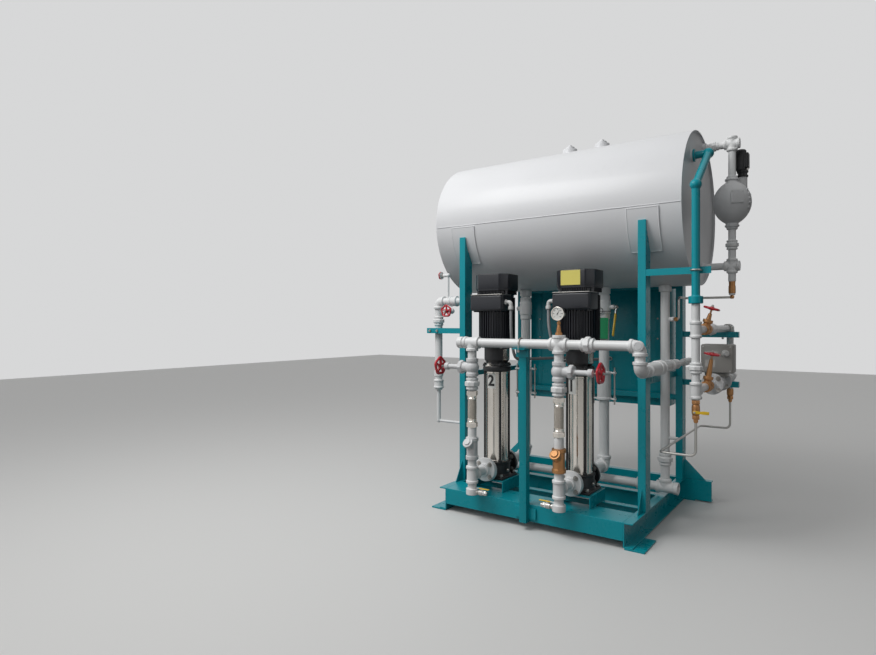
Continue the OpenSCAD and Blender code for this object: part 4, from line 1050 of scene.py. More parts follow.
def makeBraid():
    # crossing strands of fine wire, laid out on the hose's own UV map, with painted shade between
    # the strands
    material = makeMaterial("braidedSteel", finishes["braidedSteel"])
    tree = material.node_tree
    shader = tree.nodes["Principled BSDF"]
    flat = tree.nodes.new("ShaderNodeUVMap")
    flat.uv_map = "wrap"
    parts = tree.nodes.new("ShaderNodeSeparateXYZ")
    tree.links.new(flat.outputs[0], parts.inputs[0])
    waves = []
    for lean in (1.0, -1.0):
        slant = plus(tree, times(tree, parts.outputs["X"], 2 * math.pi * 24),
                        times(tree, parts.outputs["Y"], lean * 2 * math.pi * 110))
        waves.append(addMath(tree, "SINE", slant, 0.0))
    weave = addMath(tree, "MAXIMUM", waves[0], waves[1])
    bump = tree.nodes.new("ShaderNodeBump")
    bump.inputs["Strength"].default_value = 0.9
    bump.inputs["Distance"].default_value = 0.0012
    tree.links.new(weave, bump.inputs["Height"])
    tree.links.new(bump.outputs["Normal"], shader.inputs["Normal"])
    # the low parts of the weave are painted a dark brownish grey: painted shade between the strands
    # and a painted brownish reflection
    strandShade = addMix(tree, addStep(tree, weave, -0.2, 0.8), srgb(92, 82, 72), srgb(206, 198, 188))
    tree.links.new(strandShade, shader.inputs["Base Color"])
    return material


finishes["braidedSteel"] = dict(finishes["stainless"], rough=0.42, brushAmount=0.0)
materials["braidedSteel"] = makeBraid()
low, high, mid = middle("flex_connectors")
hoses, ends = bmesh.new(), bmesh.new()
wrap = hoses.loops.layers.uv.new("wrap")
r, endR, endH, ferrule = [riserLook[key] for key in ("hoseR", "endR", "endH", "ferruleR")]
for x in riserXs:
    foot, top = low.z, high.z
    profile = [(foot + 0.040, r - 0.006), (foot + 0.040, r)]
    waist = 9
    for k in range(waist + 1):
        t = k / waist
        profile.append((foot + 0.050 + (top - foot - 0.100) * t,
                        r + 0.0012 * math.sin(math.pi * t) + 0.0008 * (k % 2)))
    profile += [(top - 0.040, r), (top - 0.040, r - 0.006)]
    addLathe(hoses, (x, riserY, 0), Z, profile, 48)
    for z0 in (foot, top - endH):
        addNut(ends, (x, riserY, z0 + endH / 2), Z, 2 * endR, endH - 0.001)
    for z0 in (foot + 0.032, top - 0.060):
        addLathe(ends, (x, riserY, z0), Z, [
            (0, 0), (0, 0.030), (0.003, ferrule), (0.010, ferrule), (0.013, 0.0305),
            (0.018, 0.0305), (0.021, ferrule), (0.026, ferrule), (0.028, 0.0295), (0.028, 0)], 44)


def hoseAngle(co):
    nearest = min(riserXs, key=lambda v: abs(v - co.x))
    return math.atan2(co.y - riserY, co.x - nearest)


# the hoses' own map: once round across, and its height up
for face in hoses.faces:
    turnHere = hoseAngle(face.calc_center_median())
    for loop in face.loops:
        angle = hoseAngle(loop.vert.co)
        while angle - turnHere > math.pi:
            angle -= 2 * math.pi
        while angle - turnHere < -math.pi:
            angle += 2 * math.pi
        loop[wrap].uv = (angle / (2 * math.pi), loop.vert.co.z)
finishPiece(hoses, "braidedHoses", "braidedSteel", ("flex_connectors",))
finishPiece(ends, "hoseEnds", "stainless", ("flex_connectors",))

drains, handles = bmesh.new(), bmesh.new()
drainZ = 0.202
for x, side in zip(riserXs, (-1, 1)):
    start = Vector((x + side * 0.034, riserY, drainZ))
    out = X * side
    addLathe(drains, start, out, [(0, 0), (0, 0.0165), (0.014, 0.0165), (0.016, 0.012),
                                  (0.020, 0.012), (0.022, 0.0185), (0.052, 0.0185), (0.054, 0.0125),
                                  (0.060, 0.0125), (0.060, 0)], 28)
    addNut(drains, start + out * 0.068, out, 0.034, 0.018)
    addLathe(drains, start + out * 0.076, out, [(0, 0), (0, 0.0135), (0.010, 0.0135),
                                                (0.012, 0.008), (0.012, 0)], 24)
    addBar(drains, start + out * 0.037, start + out * 0.037 + Z * 0.030, 0.0055, 16)
    addNut(drains, start + out * 0.037 + Z * 0.0335, Z, 0.013, 0.006)
    handleStart = start + out * 0.026 + Z * 0.0255
    near, far = sorted((handleStart.x, handleStart.x + side * 0.070))
    addBox(handles, (near - 0.004, riserY - 0.0078, handleStart.z - 0.001),
           (far + 0.004, riserY + 0.0078, handleStart.z + 0.0055), 0.0026, 3)
finishPiece(drains, "riserDrains", "zincBolt")
finishPiece(handles, "riserDrainHandles", "yellowVinyl")
print("risers made")

# discharge valves: bonnet nuts and stems
trim, stems = bmesh.new(), bmesh.new()
low, high, mid = middle("discharge_valves")
for x, side in zip(riserXs, (1, -1)):
    spot = Vector((x, riserY, mid.z))
    out = X * side
    addLathe(trim, spot + out * 0.0695, out, [
        (0, 0.040), (0.004, 0.047), (0.024, 0.047), (0.028, 0.040), (0.028, 0.030)], 8)
    addLathe(trim, spot + out * 0.188, out, [
        (0, 0.0172), (0.004, 0.0235), (0.010, 0.0258), (0.024, 0.0258), (0.030, 0.0230),
        (0.036, 0.0120), (0.036, 0)], 32)
    for k in range(14):
        addLathe(stems, spot + out * (0.226 + 0.002 * k), out,
                 [(0, 0.0056), (0.001, 0.0068), (0.002, 0.0056)], 18)
finishPiece(trim, "valveBonnets", "castPaint", angle=25, bevel=0.0012)
finishPiece(stems, "valveThreads", "zincBolt")

# pressure gauge
gaugeLook = {"rise": 0.134, "dialR": 0.0375, "sweep": 270}
low, high, mid = middle("pressure_gauge")
gx, gz = mid.x, low.z
dial = Vector((gx, riserY, gz + gaugeLook["rise"]))
case = bmesh.new()
addLathe(case, dial + Y * 0.010, -Y, [
    (0, 0), (0, 0.036), (0.003, 0.040), (0.026, 0.041), (0.027, 0.043), (0.033, 0.043),
    (0.034, 0.0415), (0.034, 0.0385), (0.029, 0.0380), (0.029, 0)], 56)
finishPiece(case, "gaugeCase", "stainless", ("pressure_gauge",))
face = bmesh.new()
addLathe(face, dial - Y * 0.0192, -Y, [(0, 0), (0, 0.0378), (0.0012, 0.0378), (0.0012, 0)], 48)
finishPiece(face, "gaugeFace", "labelWhite", ("pressure_gauge",))


def onDial(u, v, w):
    return dial + Vector((u, -0.0205 - w, v))


marks = bmesh.new()
dialR = gaugeLook["dialR"]


def dialAngle(share):
    return math.radians(225 - gaugeLook["sweep"] * share)


def addMark(angle, inner, outer, wideIn, wideOut, lift=0.0, tall=0.0004):
    # a bar on the dial that points out from its centre
    direction = Vector((math.cos(angle), math.sin(angle)))
    across = Vector((-direction.y, direction.x))
    ends = [direction * inner - across * wideIn, direction * outer - across * wideOut,
            direction * outer + across * wideOut, direction * inner + across * wideIn]
    addPrism(marks, [tuple(end) for end in ends], lambda u, v, w: onDial(u, v, lift + w), tall)


for k in range(31):
    long, wide = (0.0065, 0.0007) if k % 5 == 0 else (0.0038, 0.0004)
    addMark(dialAngle(k / 30), dialR - long, dialR - 0.001, wide, wide)
for k in range(7):
    spot = Vector((math.cos(dialAngle(k / 6)), math.sin(dialAngle(k / 6)))) * 0.0262
    addText(marks, str(k * 20), 0.0078,
            lambda u, v, w, spot=spot: onDial(u + spot.x, v + spot.y, w), 0.0004, 0.0001)
addMark(math.radians(62), -0.010, 0.028, 0.0016, 0.0004, 0.0012, 0.0006)
addLathe(marks, dial - Y * 0.0205, -Y, [(0, 0.0034), (0.0028, 0.0030), (0.0030, 0)], 20)
finishPiece(marks, "gaugeMarks", "blackPlastic", ("pressure_gauge",))
stem = bmesh.new()
addNut(stem, (gx, riserY, gz + 0.008), Z, 0.046, 0.016)
addLathe(stem, (gx, riserY, gz + 0.014), Z, [
    (0, 0), (0, 0.0155), (0.004, 0.0165), (0.030, 0.0125), (0.052, 0.0085), (0.056, 0.0120),
    (0.068, 0.0120), (0.070, 0.0075), (0.079, 0.0070), (0.079, 0)], 32)
finishPiece(stem, "gaugeStem", "bronzeCast", ("pressure_gauge",))
print("gauge made")


# U-bolts, the plugged boss on the header's end elbow
def addUBolt(mesh, centre, along, down, pipeR, leg):
    # a bent rod round a pipe, with a washer and a nut on each leg
    centre, along, down = Vector(centre), Vector(along), Vector(down)
    side = along.cross(down)
    reach = pipeR + 0.0048
    arc = [centre + side * math.cos(a) * reach - down * math.sin(a) * reach
           for a in [math.pi * k / 20 for k in range(21)]]
    path = [centre + side * reach + down * leg] + arc + [centre - side * reach + down * leg]
    addTube(mesh, path, 0.0049, 12)
    for way in (-1, 1):
        tip = centre + side * way * reach + down * leg
        addNut(mesh, tip - down * 0.006, down, 0.017, 0.008)
        addBand(mesh, tip - down * 0.0115, down, 0.0052, 0.0105, 0.0015, 20)


headerZ = middle("pressure_gauge")[0].z - 0.058225
postSide = middle("post_back_right")[2].y
uBolts = bmesh.new()
smallPipe, bigPipe = 0.02415, 0.03015
for place, along, down, pipeR, leg in (
        ((0, riserY, headerZ), X, -Z, bigPipe, 0.056),
        ((1.000, -0.550, 1.673), Z, Y, smallPipe, 0.040),
        ((1.000, postSide, 0.952), Y, -Z, smallPipe, 0.080),
        ((1.000, postSide, 1.316), Y, -Z, smallPipe, 0.080),
        ((-0.988, -0.39355, 1.295), Z, -Y, bigPipe, 0.086)):
    addUBolt(uBolts, place, along, down, pipeR, leg)
finishPiece(uBolts, "uBolts", "zincBolt")
plug = bmesh.new()
addLathe(plug, (0.766, riserY - 0.026, headerZ), -Y, [
    (0, 0), (0, 0.033), (0.006, 0.033), (0.010, 0.030), (0.012, 0.026), (0.012, 0.0215),
    (0.010, 0.0205), (0.010, 0.0185), (0.013, 0.0175), (0.013, 0)], 36)
finishPiece(plug, "headerPlug", "castPaint")
print("U-bolts made")

# motor conduits
conduit, fittings = bmesh.new(), bmesh.new()
panelY = middle("control_panel")[0].y
for number, side in ((1, -1), (2, 1)):
    spot = motorSpots[number]
    wall = Vector((spot["x"] + side * spot["half"], spot["y"] - 0.112, spot["driveTop"] - 0.058))
    out = X * side
    elbow = wall + out * 0.044
    drop = elbow - Z * 0.046
    addNut(fittings, wall + out * 0.006, out, 0.040, 0.012)
    addTube(fittings, roundedPath([wall, elbow, drop], 0.030), 0.0142, 20)
    addLathe(fittings, elbow - Z * 0.030, -Z, [
        (0, 0), (0, 0.0175), (0.006, 0.0190), (0.020, 0.0190), (0.026, 0.0150), (0.026, 0)], 28)
    route = [drop, drop - Z * 0.12, drop - Z * 0.24 - X * side * 0.012 + Y * 0.035,
             drop - Z * 0.36 - X * side * 0.022 + Y * 0.10,
             Vector((drop.x - side * 0.022, panelY - 0.09, drop.z - 0.395)),
             Vector((drop.x - side * 0.022, panelY + 0.002, drop.z - 0.395))]
    addTube(conduit, roundedPath(route, 0.07, 8), 0.0112, 12, (0.0046, 0.0011))
    addNut(fittings, route[-1] - Y * 0.012, Y, 0.036, 0.016)
finishPiece(conduit, "flexConduits", "conduitGrey", ("motor_conduits",), angle=20)
finishPiece(fittings, "conduitFittings", "conduitPale", ("motor_conduits",))
print("conduits made")

# suction side: lever, tag, joint rods
suctionX, suctionY = riserXs, -0.060  # the suction pipes stand behind the risers
pivot, axis = pivotOf["suction_lever"], axisOf["suction_lever"]
leverTurn = math.radians(20)
along = Vector((0, -math.sin(leverTurn), -math.cos(leverTurn)))
across = X.cross(along)


def onLever(u, v, w):
    return pivot + along * u + across * v + X * w


grip = bmesh.new()
outline = [(0.052, -0.0125), (0.217, -0.0130), (0.223, -0.0095), (0.2255, 0), (0.223, 0.0095),
           (0.217, 0.0130), (0.052, 0.0125)]
addPrism(grip, outline, lambda u, v, w: onLever(u, v, -0.0012 + w), 0.0104, 0.0028)
finishPiece(grip, "suctionLeverGrip", "yellowVinyl", ("suction_lever",), "suction_lever")
flat = bmesh.new()
addBand(flat, pivot + X * 0.0012, X, 0.0064, 0.0158, 0.0056, 28)
addPrism(flat, [(0.012, -0.010), (0.056, -0.009), (0.056, 0.009), (0.012, 0.010)],
         lambda u, v, w: onLever(u, v, 0.0018 + w), 0.0044)
finishPiece(flat, "suctionLeverRoot", "zincBolt", ("suction_lever",), "suction_lever")

rods, tags = bmesh.new(), bmesh.new()
addNut(rods, pivot + X * 0.0125, X, 0.019, 0.007)
jointFoot, jointTop = 0.802, 0.992
for x in suctionX:
    for rx in (x - 0.078, x + 0.078):
        addBar(rods, (rx, suctionY, jointFoot - 0.040), (rx, suctionY, jointTop + 0.040), 0.0055,
               14, 0.001)
        for z, way in ((z, way) for z in (jointFoot, jointTop) for way in (-1, 1)):
            addNut(rods, (rx, suctionY, z + way * 0.012), Z, 0.019, 0.009)
            addLathe(rods, (rx, suctionY, z + way * 0.0068), Z,
                     [(-0.0007, 0), (-0.0007, 0.012), (0.0007, 0.012), (0.0007, 0)], 18)
finishPiece(rods, "jointRods", "zincBolt")
tagX = suctionX[0] + 0.010
addPrism(tags, [(-0.043, -0.074), (0.037, -0.078), (0.041, 0.070), (0.034, 0.076), (-0.028, 0.078),
                (-0.037, 0.072)],
         lambda u, v, w: Vector((tagX + u, suctionY - 0.0525 - 0.010 * abs(v - 0.07) - w,
                                 1.318 + v)), 0.0012)
finishPiece(tags, "valveTag", "tagGreen")
tie = bmesh.new()
addBand(tie, (suctionX[0], suctionY, 1.440), Z, 0.0468, 0.0492, 0.004)
ringPath = [Vector((tagX - 0.020 + math.cos(a) * 0.020, suctionY - 0.054,
                    1.446 + math.sin(a) * 0.020))
            for a in [2 * math.pi * k / 24 for k in range(24)]]
addTube(tie, ringPath + [ringPath[0] + Vector((0.0004, 0, 0.0004))], 0.0024, 8)
tiePath = [Vector((tagX - dx, suctionY - dy, z)) for dx, dy, z in
           ((0.016, 0.0535, 1.390), (0.024, 0.0555, 1.410), (0.021, 0.0550, 1.428))]
addTube(tie, roundedPath(tiePath, 0.01), 0.0016, 8)
finishPiece(tie, "tagRing", "blackPlastic")

# drain valves and their levers
makeX, makeY = 1.000, -0.550
farY, cockZ0, cockZ1 = 0.600, 0.782, 0.897
brass = bmesh.new()
for y in (makeY, farY):
    addNut(brass, (makeX, y, cockZ0 + 0.012), Z, 0.046, 0.024)
    addLathe(brass, (makeX, y, cockZ0 + 0.024), Z, [
        (0, 0), (0, 0.0165), (0.006, 0.0215), (0.020, 0.0235), (0.046, 0.0235), (0.060, 0.0215),
        (0.066, 0.0165), (0.066, 0)], 36)
    addNut(brass, (makeX, y, cockZ1 - 0.012), Z, 0.050, 0.026)
addLathe(brass, (makeX, makeY - 0.015, 0.827), -Y, [(0, 0.012), (0.016, 0.012), (0.018, 0.0055),
                                                   (0.018, 0)], 20)
low, high, mid = middle("float_column")
levelX, levelY = 1.087, 0.138
addLathe(brass, (levelX, levelY, low.z), Z, [
    (0, 0), (0, 0.017), (0.010, 0.019), (0.014, 0.0225), (0.060, 0.0225), (0.066, 0.020),
    (0.094, 0.021), (0.094, 0)], 36)
finishPiece(brass, "drainValves", "bronzeCast", ("drain_tubes",))
lever = bmesh.new()
pin = pivotOf["drain_lever"]
addPrism(lever, [(-0.009, -0.0085), (0.010, -0.0095), (0.030, -0.006), (0.052, -0.0095),
                 (0.078, -0.0095), (0.081, -0.005), (0.081, 0.005), (0.078, 0.0095),
                 (0.052, 0.0095), (0.030, 0.006), (0.010, 0.0095), (-0.009, 0.0085)],
         lambda u, v, w: Vector((pin.x + u, pin.y - 0.0018 + w, pin.z + v)), 0.0046, 0.0012)
finishPiece(lever, "drainLever", "yellowVinyl", ("drain_lever",), "drain_lever")
leverNut = bmesh.new()
addNut(leverNut, pin - Y * 0.0052, Y, 0.013, 0.0052)
finishPiece(leverNut, "drainLeverNut", "zincBolt")
print("levers and cocks made")


# tank: seams and welds
tankLook = {"seamTurn": 3.4, "bead": 0.0032}
low, high, mid = middle("tank_shell")
tankZ, tankX0, tankX1 = mid.z, low.x, high.x
tankR = (high.z - low.z) / 2


def onTank(x, turn, out=0.0):
    # turn is measured down from mid-height on the pump side
    return Vector((x, -math.cos(turn) * (tankR + out), tankZ - math.sin(turn) * (tankR + out)))


beads = bmesh.new()
seam = math.radians(tankLook["seamTurn"])


def wander(k, size):
    return size * (math.sin(k * 1.7) + math.sin(k * 0.61 + 1.3)) * 0.5


count = 90
addTube(beads, [onTank(tankX0 + 0.004 + (tankX1 - tankX0 - 0.008) * k / count,
                       seam + wander(k, 0.0012), 0.0002) for k in range(count + 1)],
        tankLook["bead"], 8)
for x in (tankX0 + 0.0125, tankX1 - 0.0125):
    side = -1 if x < 0 else 1
    reach = tankR - 0.0075
    ring = [Vector((x + side * 0.0012, math.cos(a) * reach, tankZ + math.sin(a) * reach))
            for a in [2 * math.pi * k / 96 for k in range(96)]]
    addTube(beads, ring + [ring[0] + Vector((0, 0.0001, 0.0001))], 0.0042, 8)
low, high, mid = middle("saddle_pads")
padHalf = 0.100
padX = high.x - padHalf
padTop, padFoot = math.radians(5), math.radians(37)
for x in (-padX, padX):
    for mirror in (1, -1):
        corners = [(x - padHalf, padTop), (x + padHalf, padTop), (x + padHalf, padFoot),
                   (x - padHalf, padFoot)]
        path = []
        for (xa, ta), (xb, tb) in zip(corners, corners[1:] + corners[:1]):
            for k in range(12):
                t = k / 12
                point = onTank(xa + (xb - xa) * t + wander(k, 0.0008), ta + (tb - ta) * t, 0.0042)
                path.append(Vector((point.x, point.y * mirror, point.z)))
        addTube(beads, path + [path[0] + Vector((0.0001, 0, 0.0001))], 0.0040, 8)
# beads where each post and its pad meet, and around the plugs
for x in (-0.675, 0.675):
    for mirror in (1, -1):
        for edge in (-0.0255, 0.0255):
            path = [Vector((x + edge, p.y * mirror, p.z)) for p in
                    [onTank(0, math.radians(13.5 + 12.5 * k / 10), 0.009) for k in range(11)]]
            addTube(beads, path, 0.0036, 8)
for x in (-0.025, 0.228):
    r = 0.0545
    ring = [Vector((x + math.cos(a) * r, math.sin(a) * r,
                    tankZ + math.sqrt(tankR ** 2 - (math.sin(a) * r) ** 2) + 0.001))
            for a in [2 * math.pi * k / 48 for k in range(48)]]
    addTube(beads, ring + [ring[0] + Vector((0, 0.0001, 0.0001))], 0.0035, 8)
finishPiece(beads, "tankBeads", "tankPrimer")
# welded ring flanges on the right head where the vent and level pipes leave it
collars = bmesh.new()
headX = middle("tank_head_right")[1].x
for y, z, r in ((levelY, 2.577, 0.030), (levelY, 1.745, 0.030)):
    addLathe(collars, (headX - 0.001, y, z), X, [
        (0, 0), (0, r + 0.010), (0.004, r + 0.006), (0.010, r + 0.004), (0.026, r + 0.003),
        (0.028, r - 0.002), (0.028, 0)], 32)
finishPiece(collars, "headCollars", "tankPrimer")
nozzle = bmesh.new()
addLathe(nozzle, (headX - 0.001, -0.190, 2.452), X, [
    (0, 0), (0, 0.046), (0.004, 0.042), (0.022, 0.040), (0.025, 0.036), (0.025, 0)], 36)
finishPiece(nozzle, "ventNozzle", "tankPrimer")
print("tank made")

# level control: chamber plate, seam and switch
floatZ = 2.175
chamber = bmesh.new()
faceTurn = 0.42
plateR = 0.1205


def onChamber(u, v, w):
    # a flat plate on the side of the chamber, facing forward
    normal = Vector((math.sin(faceTurn), -math.cos(faceTurn), 0))
    aside = Vector((math.cos(faceTurn), math.sin(faceTurn), 0))
    return (Vector((levelX, levelY, floatZ + 0.022)) + normal * (plateR - 0.004 + w)
            + aside * u + Z * v)


addPrism(chamber, [(-0.036, -0.044), (0.036, -0.044), (0.040, -0.040), (0.040, 0.040),
                   (0.036, 0.044), (-0.036, 0.044), (-0.040, 0.040), (-0.040, -0.040)],
         onChamber, 0.0070, 0.0012)
for u in (-0.030, 0.030):
    for v in (-0.034, 0.034):
        addLathe(chamber, onChamber(u, v, 0.0068), onChamber(0, 0, 1) - onChamber(0, 0, 0),
                 [(0, 0.0052), (0.0022, 0.0044), (0.0028, 0)], 14)
# cast ribs down the right side of the chamber
for k in range(5):
    z = floatZ + 0.075 - k * 0.030
    a = -0.35
    r = math.sqrt(max(0.0001, (0.160 ** 2 - (z - floatZ) ** 2))) - 0.040
    start = Vector((levelX + math.cos(a) * (r - 0.006), levelY + math.sin(a) * (r - 0.006), z))
    addBar(chamber, start, start + Vector((math.cos(a), math.sin(a), 0)) * 0.013, 0.008, 16, 0.002)
finishPiece(chamber, "chamberPlate", "castPaint")
chamberCollars = bmesh.new()
for way in (1, -1):
    addLathe(chamberCollars, (levelX, levelY, floatZ + way * 0.153), (0, 0, way), [
        (0, 0), (0, 0.046), (0.010, 0.044), (0.014, 0.036), (0.026, 0.034), (0.030, 0.029),
        (0.030, 0)], 40)
boltsOn(chamberCollars, (levelX + 0.38 * 0.111, levelY + 0.925 * 0.111, floatZ + 0.050),
        (0.38, 0.925, 0), 0.051, 6, 0.0095, 0.022, 0.3, "castPaint")
finishPiece(chamberCollars, "chamberCollars", "castPaint")

low, high, mid = middle("float_switch")
sx, sy = mid.x, mid.y
switch = bmesh.new()
addLathe(switch, (sx, sy, low.z), Z, [
    (0, 0), (0, 0.033), (0.004, 0.036), (0.012, 0.036), (0.016, 0.030), (0.028, 0.030),
    (0.032, 0.036), (0.042, 0.037), (0.042, 0)], 40)
addBox(switch, (sx - 0.041, sy - 0.041, low.z + 0.040), (sx + 0.020, sy + 0.041, high.z - 0.006),
       0.014, 4)
addLathe(switch, (sx - 0.010, sy, high.z - 0.024), Z, [
    (0, 0), (0, 0.034), (0.012, 0.034), (0.020, 0.028), (0.024, 0.016), (0.024, 0)], 36)
addBox(switch, (sx + 0.010, sy - 0.032, low.z + 0.058), (sx + 0.041, sy + 0.032, high.z - 0.030),
       0.008, 3)
for z in (low.z + 0.075, high.z - 0.050):
    addBand(switch, (sx - 0.0105, sy, z), Z, 0.030, 0.0425, 0.005)
finishPiece(switch, "floatSwitch", "blackPlastic", ("float_switch",))
gland = bmesh.new()
addNut(gland, (sx + 0.026, sy, low.z + 0.053), Z, 0.026, 0.012)
addBar(gland, (sx + 0.026, sy, low.z + 0.034), (sx + 0.026, sy, low.z + 0.050), 0.0085, 20, 0.002)
for z in (low.z + 0.070, high.z - 0.042):
    for v in (-0.024, 0.024):
        addLathe(gland, (sx + 0.041, sy + v, z), X, [(-0.003, 0.0040), (0, 0.0036), (0, 0)], 14)
finishPiece(gland, "switchGland", "zincBolt", ("float_switch",))
print("level control made")

# control valve and actuator box
low, high, mid = middle("actuator_box")
box = bmesh.new()
addBox(box, (low.x, low.y + 0.022, low.z + 0.001), (high.x, high.y, high.z), 0.010, 4)
addBox(box, (low.x + 0.001, low.y + 0.003, low.z + 0.004),
       (high.x - 0.001, low.y + 0.020, high.z - 0.003), 0.007, 3)
addBox(box, (low.x + 0.004, low.y + 0.016, low.z + 0.006),
       (high.x - 0.004, low.y + 0.026, high.z - 0.006))
addBox(box, (low.x + 0.020, low.y + 0.030, low.z - 0.020),
       (high.x - 0.040, high.y - 0.020, low.z + 0.006), 0.005, 2)
finishPiece(box, "actuatorBox", "greyBox", ("actuator_box",))
knob = bmesh.new()
addLathe(knob, (high.x - 0.046, low.y + 0.004, high.z - 0.060), (0.35, -0.93, 0), [
    (0, 0), (0, 0.020), (0.004, 0.024), (0.010, 0.024), (0.014, 0.019), (0.040, 0.017),
    (0.044, 0.013), (0.044, 0)], 28)
for x in (low.x + 0.016, high.x - 0.016):
    for z in (low.z + 0.018, high.z - 0.016):
        addLathe(knob, (x, low.y + 0.003, z), -Y,
                 [(-0.004, 0.0056), (0.0012, 0.0052), (0.0020, 0)], 16)
for x in (low.x + 0.040, low.x + 0.085, low.x + 0.130):
    addNut(knob, (x, low.y + 0.070, low.z - 0.024), Z, 0.024, 0.012)
    addBar(knob, (x, low.y + 0.070, low.z - 0.040), (x, low.y + 0.070, low.z - 0.020), 0.0072, 18,
           0.002)
finishPiece(knob, "actuatorFittings", "conduitPale", ("actuator_box",))
plates = bmesh.new()
for x0, x1, z0, z1 in ((low.x + 0.028, low.x + 0.092, low.z + 0.040, low.z + 0.090),
                       (low.x + 0.030, low.x + 0.112, high.z - 0.078, high.z - 0.046)):
    addBox(plates, (x0, low.y + 0.0022, z0), (x1, low.y + 0.0032, z1))
finishPiece(plates, "actuatorPlates", "zincBolt", ("actuator_box",))
valveBolts, valveZ = bmesh.new(), 0.952
for y in (-0.057, 0.232):
    boltsOn(valveBolts, (makeX, y, valveZ), Y, 0.054, 4, 0.0125, 0.0365)
addLathe(valveBolts, (makeX, 0.0875, valveZ + 0.048), Z, [
    (0, 0), (0, 0.036), (0.010, 0.036), (0.010, 0.030), (0.016, 0.030), (0.016, 0)], 32)
boltsOn(valveBolts, (makeX, 0.0875, valveZ + 0.051), Z, 0.029, 6, 0.0075, 0.008)
finishPiece(valveBolts, "controlValveBolts", "zincBolt")
print("control valve made")

# control panel: a case with two doors to the back
louvres = 7
low, high, mid = middle("control_panel")
back = high.y
case = bmesh.new()
addBox(case, (low.x, low.y, low.z), (high.x, back - 0.022, high.z), 0.003, 2)
addBox(case, (low.x, low.y + 0.004, high.z - 0.004), (high.x, back - 0.004, high.z), 0.002, 2)
for x0, x1 in ((low.x + 0.004, mid.x - 0.0025), (mid.x + 0.0025, high.x - 0.004)):
    addBox(case, (x0, back - 0.0225, low.z + 0.012), (x1, back - 0.006, high.z - 0.012), 0.004, 3)
    addBox(case, (x0 + 0.050, back - 0.008, low.z + 0.075),
           (x1 - 0.050, back - 0.0045, high.z - 0.075), 0.0016, 2)
# louvres near the foot and head of both ends, standing in the wall
for end in (low.x, high.x):
    way = -1 if end < mid.x else 1
    for base in (low.z + 0.09, high.z - 0.20):
        for k in range(louvres):
            z = base + k * 0.016
            addPrism(case, [(0, 0), (0.0045, 0.001), (0.0045, 0.003), (0, 0.009)],
                     lambda u, v, w, z=z: Vector((end - way * 0.004 + way * u,
                                                  mid.y - 0.07 + w, z + v)), 0.14)
# folded seams and fixing plates on the side that faces the pumps
for x in (low.x + 0.09, mid.x, high.x - 0.09):
    addBox(case, (x - 0.020, low.y - 0.0016, low.z + 0.03),
           (x + 0.020, low.y + 0.002, high.z - 0.03), 0.0012, 2)
finishPiece(case, "panelCase", "tealEnamel", ("control_panel",), angle=28)
fit = bmesh.new()
for x in (low.x + 0.0035, high.x - 0.0035):
    for z in (low.z + 0.14, mid.z, high.z - 0.14):
        addBar(fit, (x, back - 0.011, z - 0.040), (x, back - 0.011, z + 0.040), 0.0062, 16, 0.001)
for hx in (mid.x - 0.045, mid.x + 0.045):
    for z in (mid.z - 0.32, mid.z, mid.z + 0.32):
        addLathe(fit, (hx, back - 0.008, z), Y, [(0, 0), (0, 0.014), (0.004, 0.014), (0.006, 0.011),
                                                (0.0075, 0.011), (0.0075, 0)], 24)
for x in (low.x + 0.09, mid.x, high.x - 0.09):
    for z in (low.z + 0.06, low.z + 0.35, mid.z + 0.02, high.z - 0.33, high.z - 0.06):
        addLathe(fit, (x, low.y - 0.0014, z), -Y,
                 [(-0.002, 0.0072), (0.0010, 0.0068), (0.0030, 0.0040), (0.0034, 0)], 16)
finishPiece(fit, "panelFittings", "zincBolt", ("control_panel",))
pull = bmesh.new()
hx = mid.x + 0.045
addBox(pull, (hx - 0.011, back - 0.0075, mid.z + 0.030),
       (hx + 0.011, back - 0.0005, mid.z + 0.150), 0.003, 3)
finishPiece(pull, "panelPull", "blackPlastic", ("control_panel",))
print("panel made")

# tubes of the drains, smoothly bent, with their nuts
tubes, tubeNuts = bmesh.new(), bmesh.new()
tubeR, tubeBend = 0.0079, 0.040
drainX, drainLow = 0.790, 0.562
spillX, spillY, spillTop, spillLow = 0.785, -0.050, 1.532, 1.382
routes = [
    [(makeX, makeY, cockZ0 + 0.004), (makeX, makeY, drainLow), (drainX, makeY, drainLow),
     (drainX, farY, drainLow), (makeX, farY, drainLow), (makeX, farY, cockZ0 + 0.004)],
    [(levelX, levelY, spillTop + 0.016), (levelX, levelY, spillTop), (spillX, levelY, spillTop),
     (spillX, spillY, spillTop), (spillX, spillY, spillLow), (spillX - 0.031, spillY, spillLow)],
]
for route in routes:
    path = roundedPath(route, tubeBend, 8)
    addTube(tubes, path, tubeR, 18)
    for tip, inner in ((path[0], path[1]), (path[-1], path[-2])):
        aim = (inner - tip).normalized()
        addNut(tubeNuts, tip + aim * 0.012, aim, 0.030, 0.017)
        addLathe(tubeNuts, tip + aim * 0.020, aim,
                 [(0, 0), (0, 0.0115), (0.006, 0.0100), (0.006, 0)], 20)
finishPiece(tubes, "drainTubes", "zincBolt", ("drain_tubes",))
finishPiece(tubeNuts, "tubeNuts", "bronzeCast")
print("tubes made")


# floor, sky and lamps
studio = {"floorSeen": (0.70, 0.70, 0.69, 1), "floorBounce": (0.06, 0.06, 0.06, 1), "floorSize": 30,
          "pale": 0.68, "skyFront": 0.94, "skyBack": 0.14, "skyLow": 0.03,
          "keyPower": 126, "keySize": (2.4, 2.0), "keyPlace": (-1.7, -3.2, 5.0),
          # degrees round from behind the camera, and how bright a reflection sees it
          "bands": [(-180, 0.74), (-128, 0.74), (-112, 0.45), (-98, 0.96), (-36, 0.96), (-20, 0.14),
                    (14, 0.14), (26, 0.84), (58, 0.88), (72, 0.06), (120, 0.08), (138, 0.74)]}


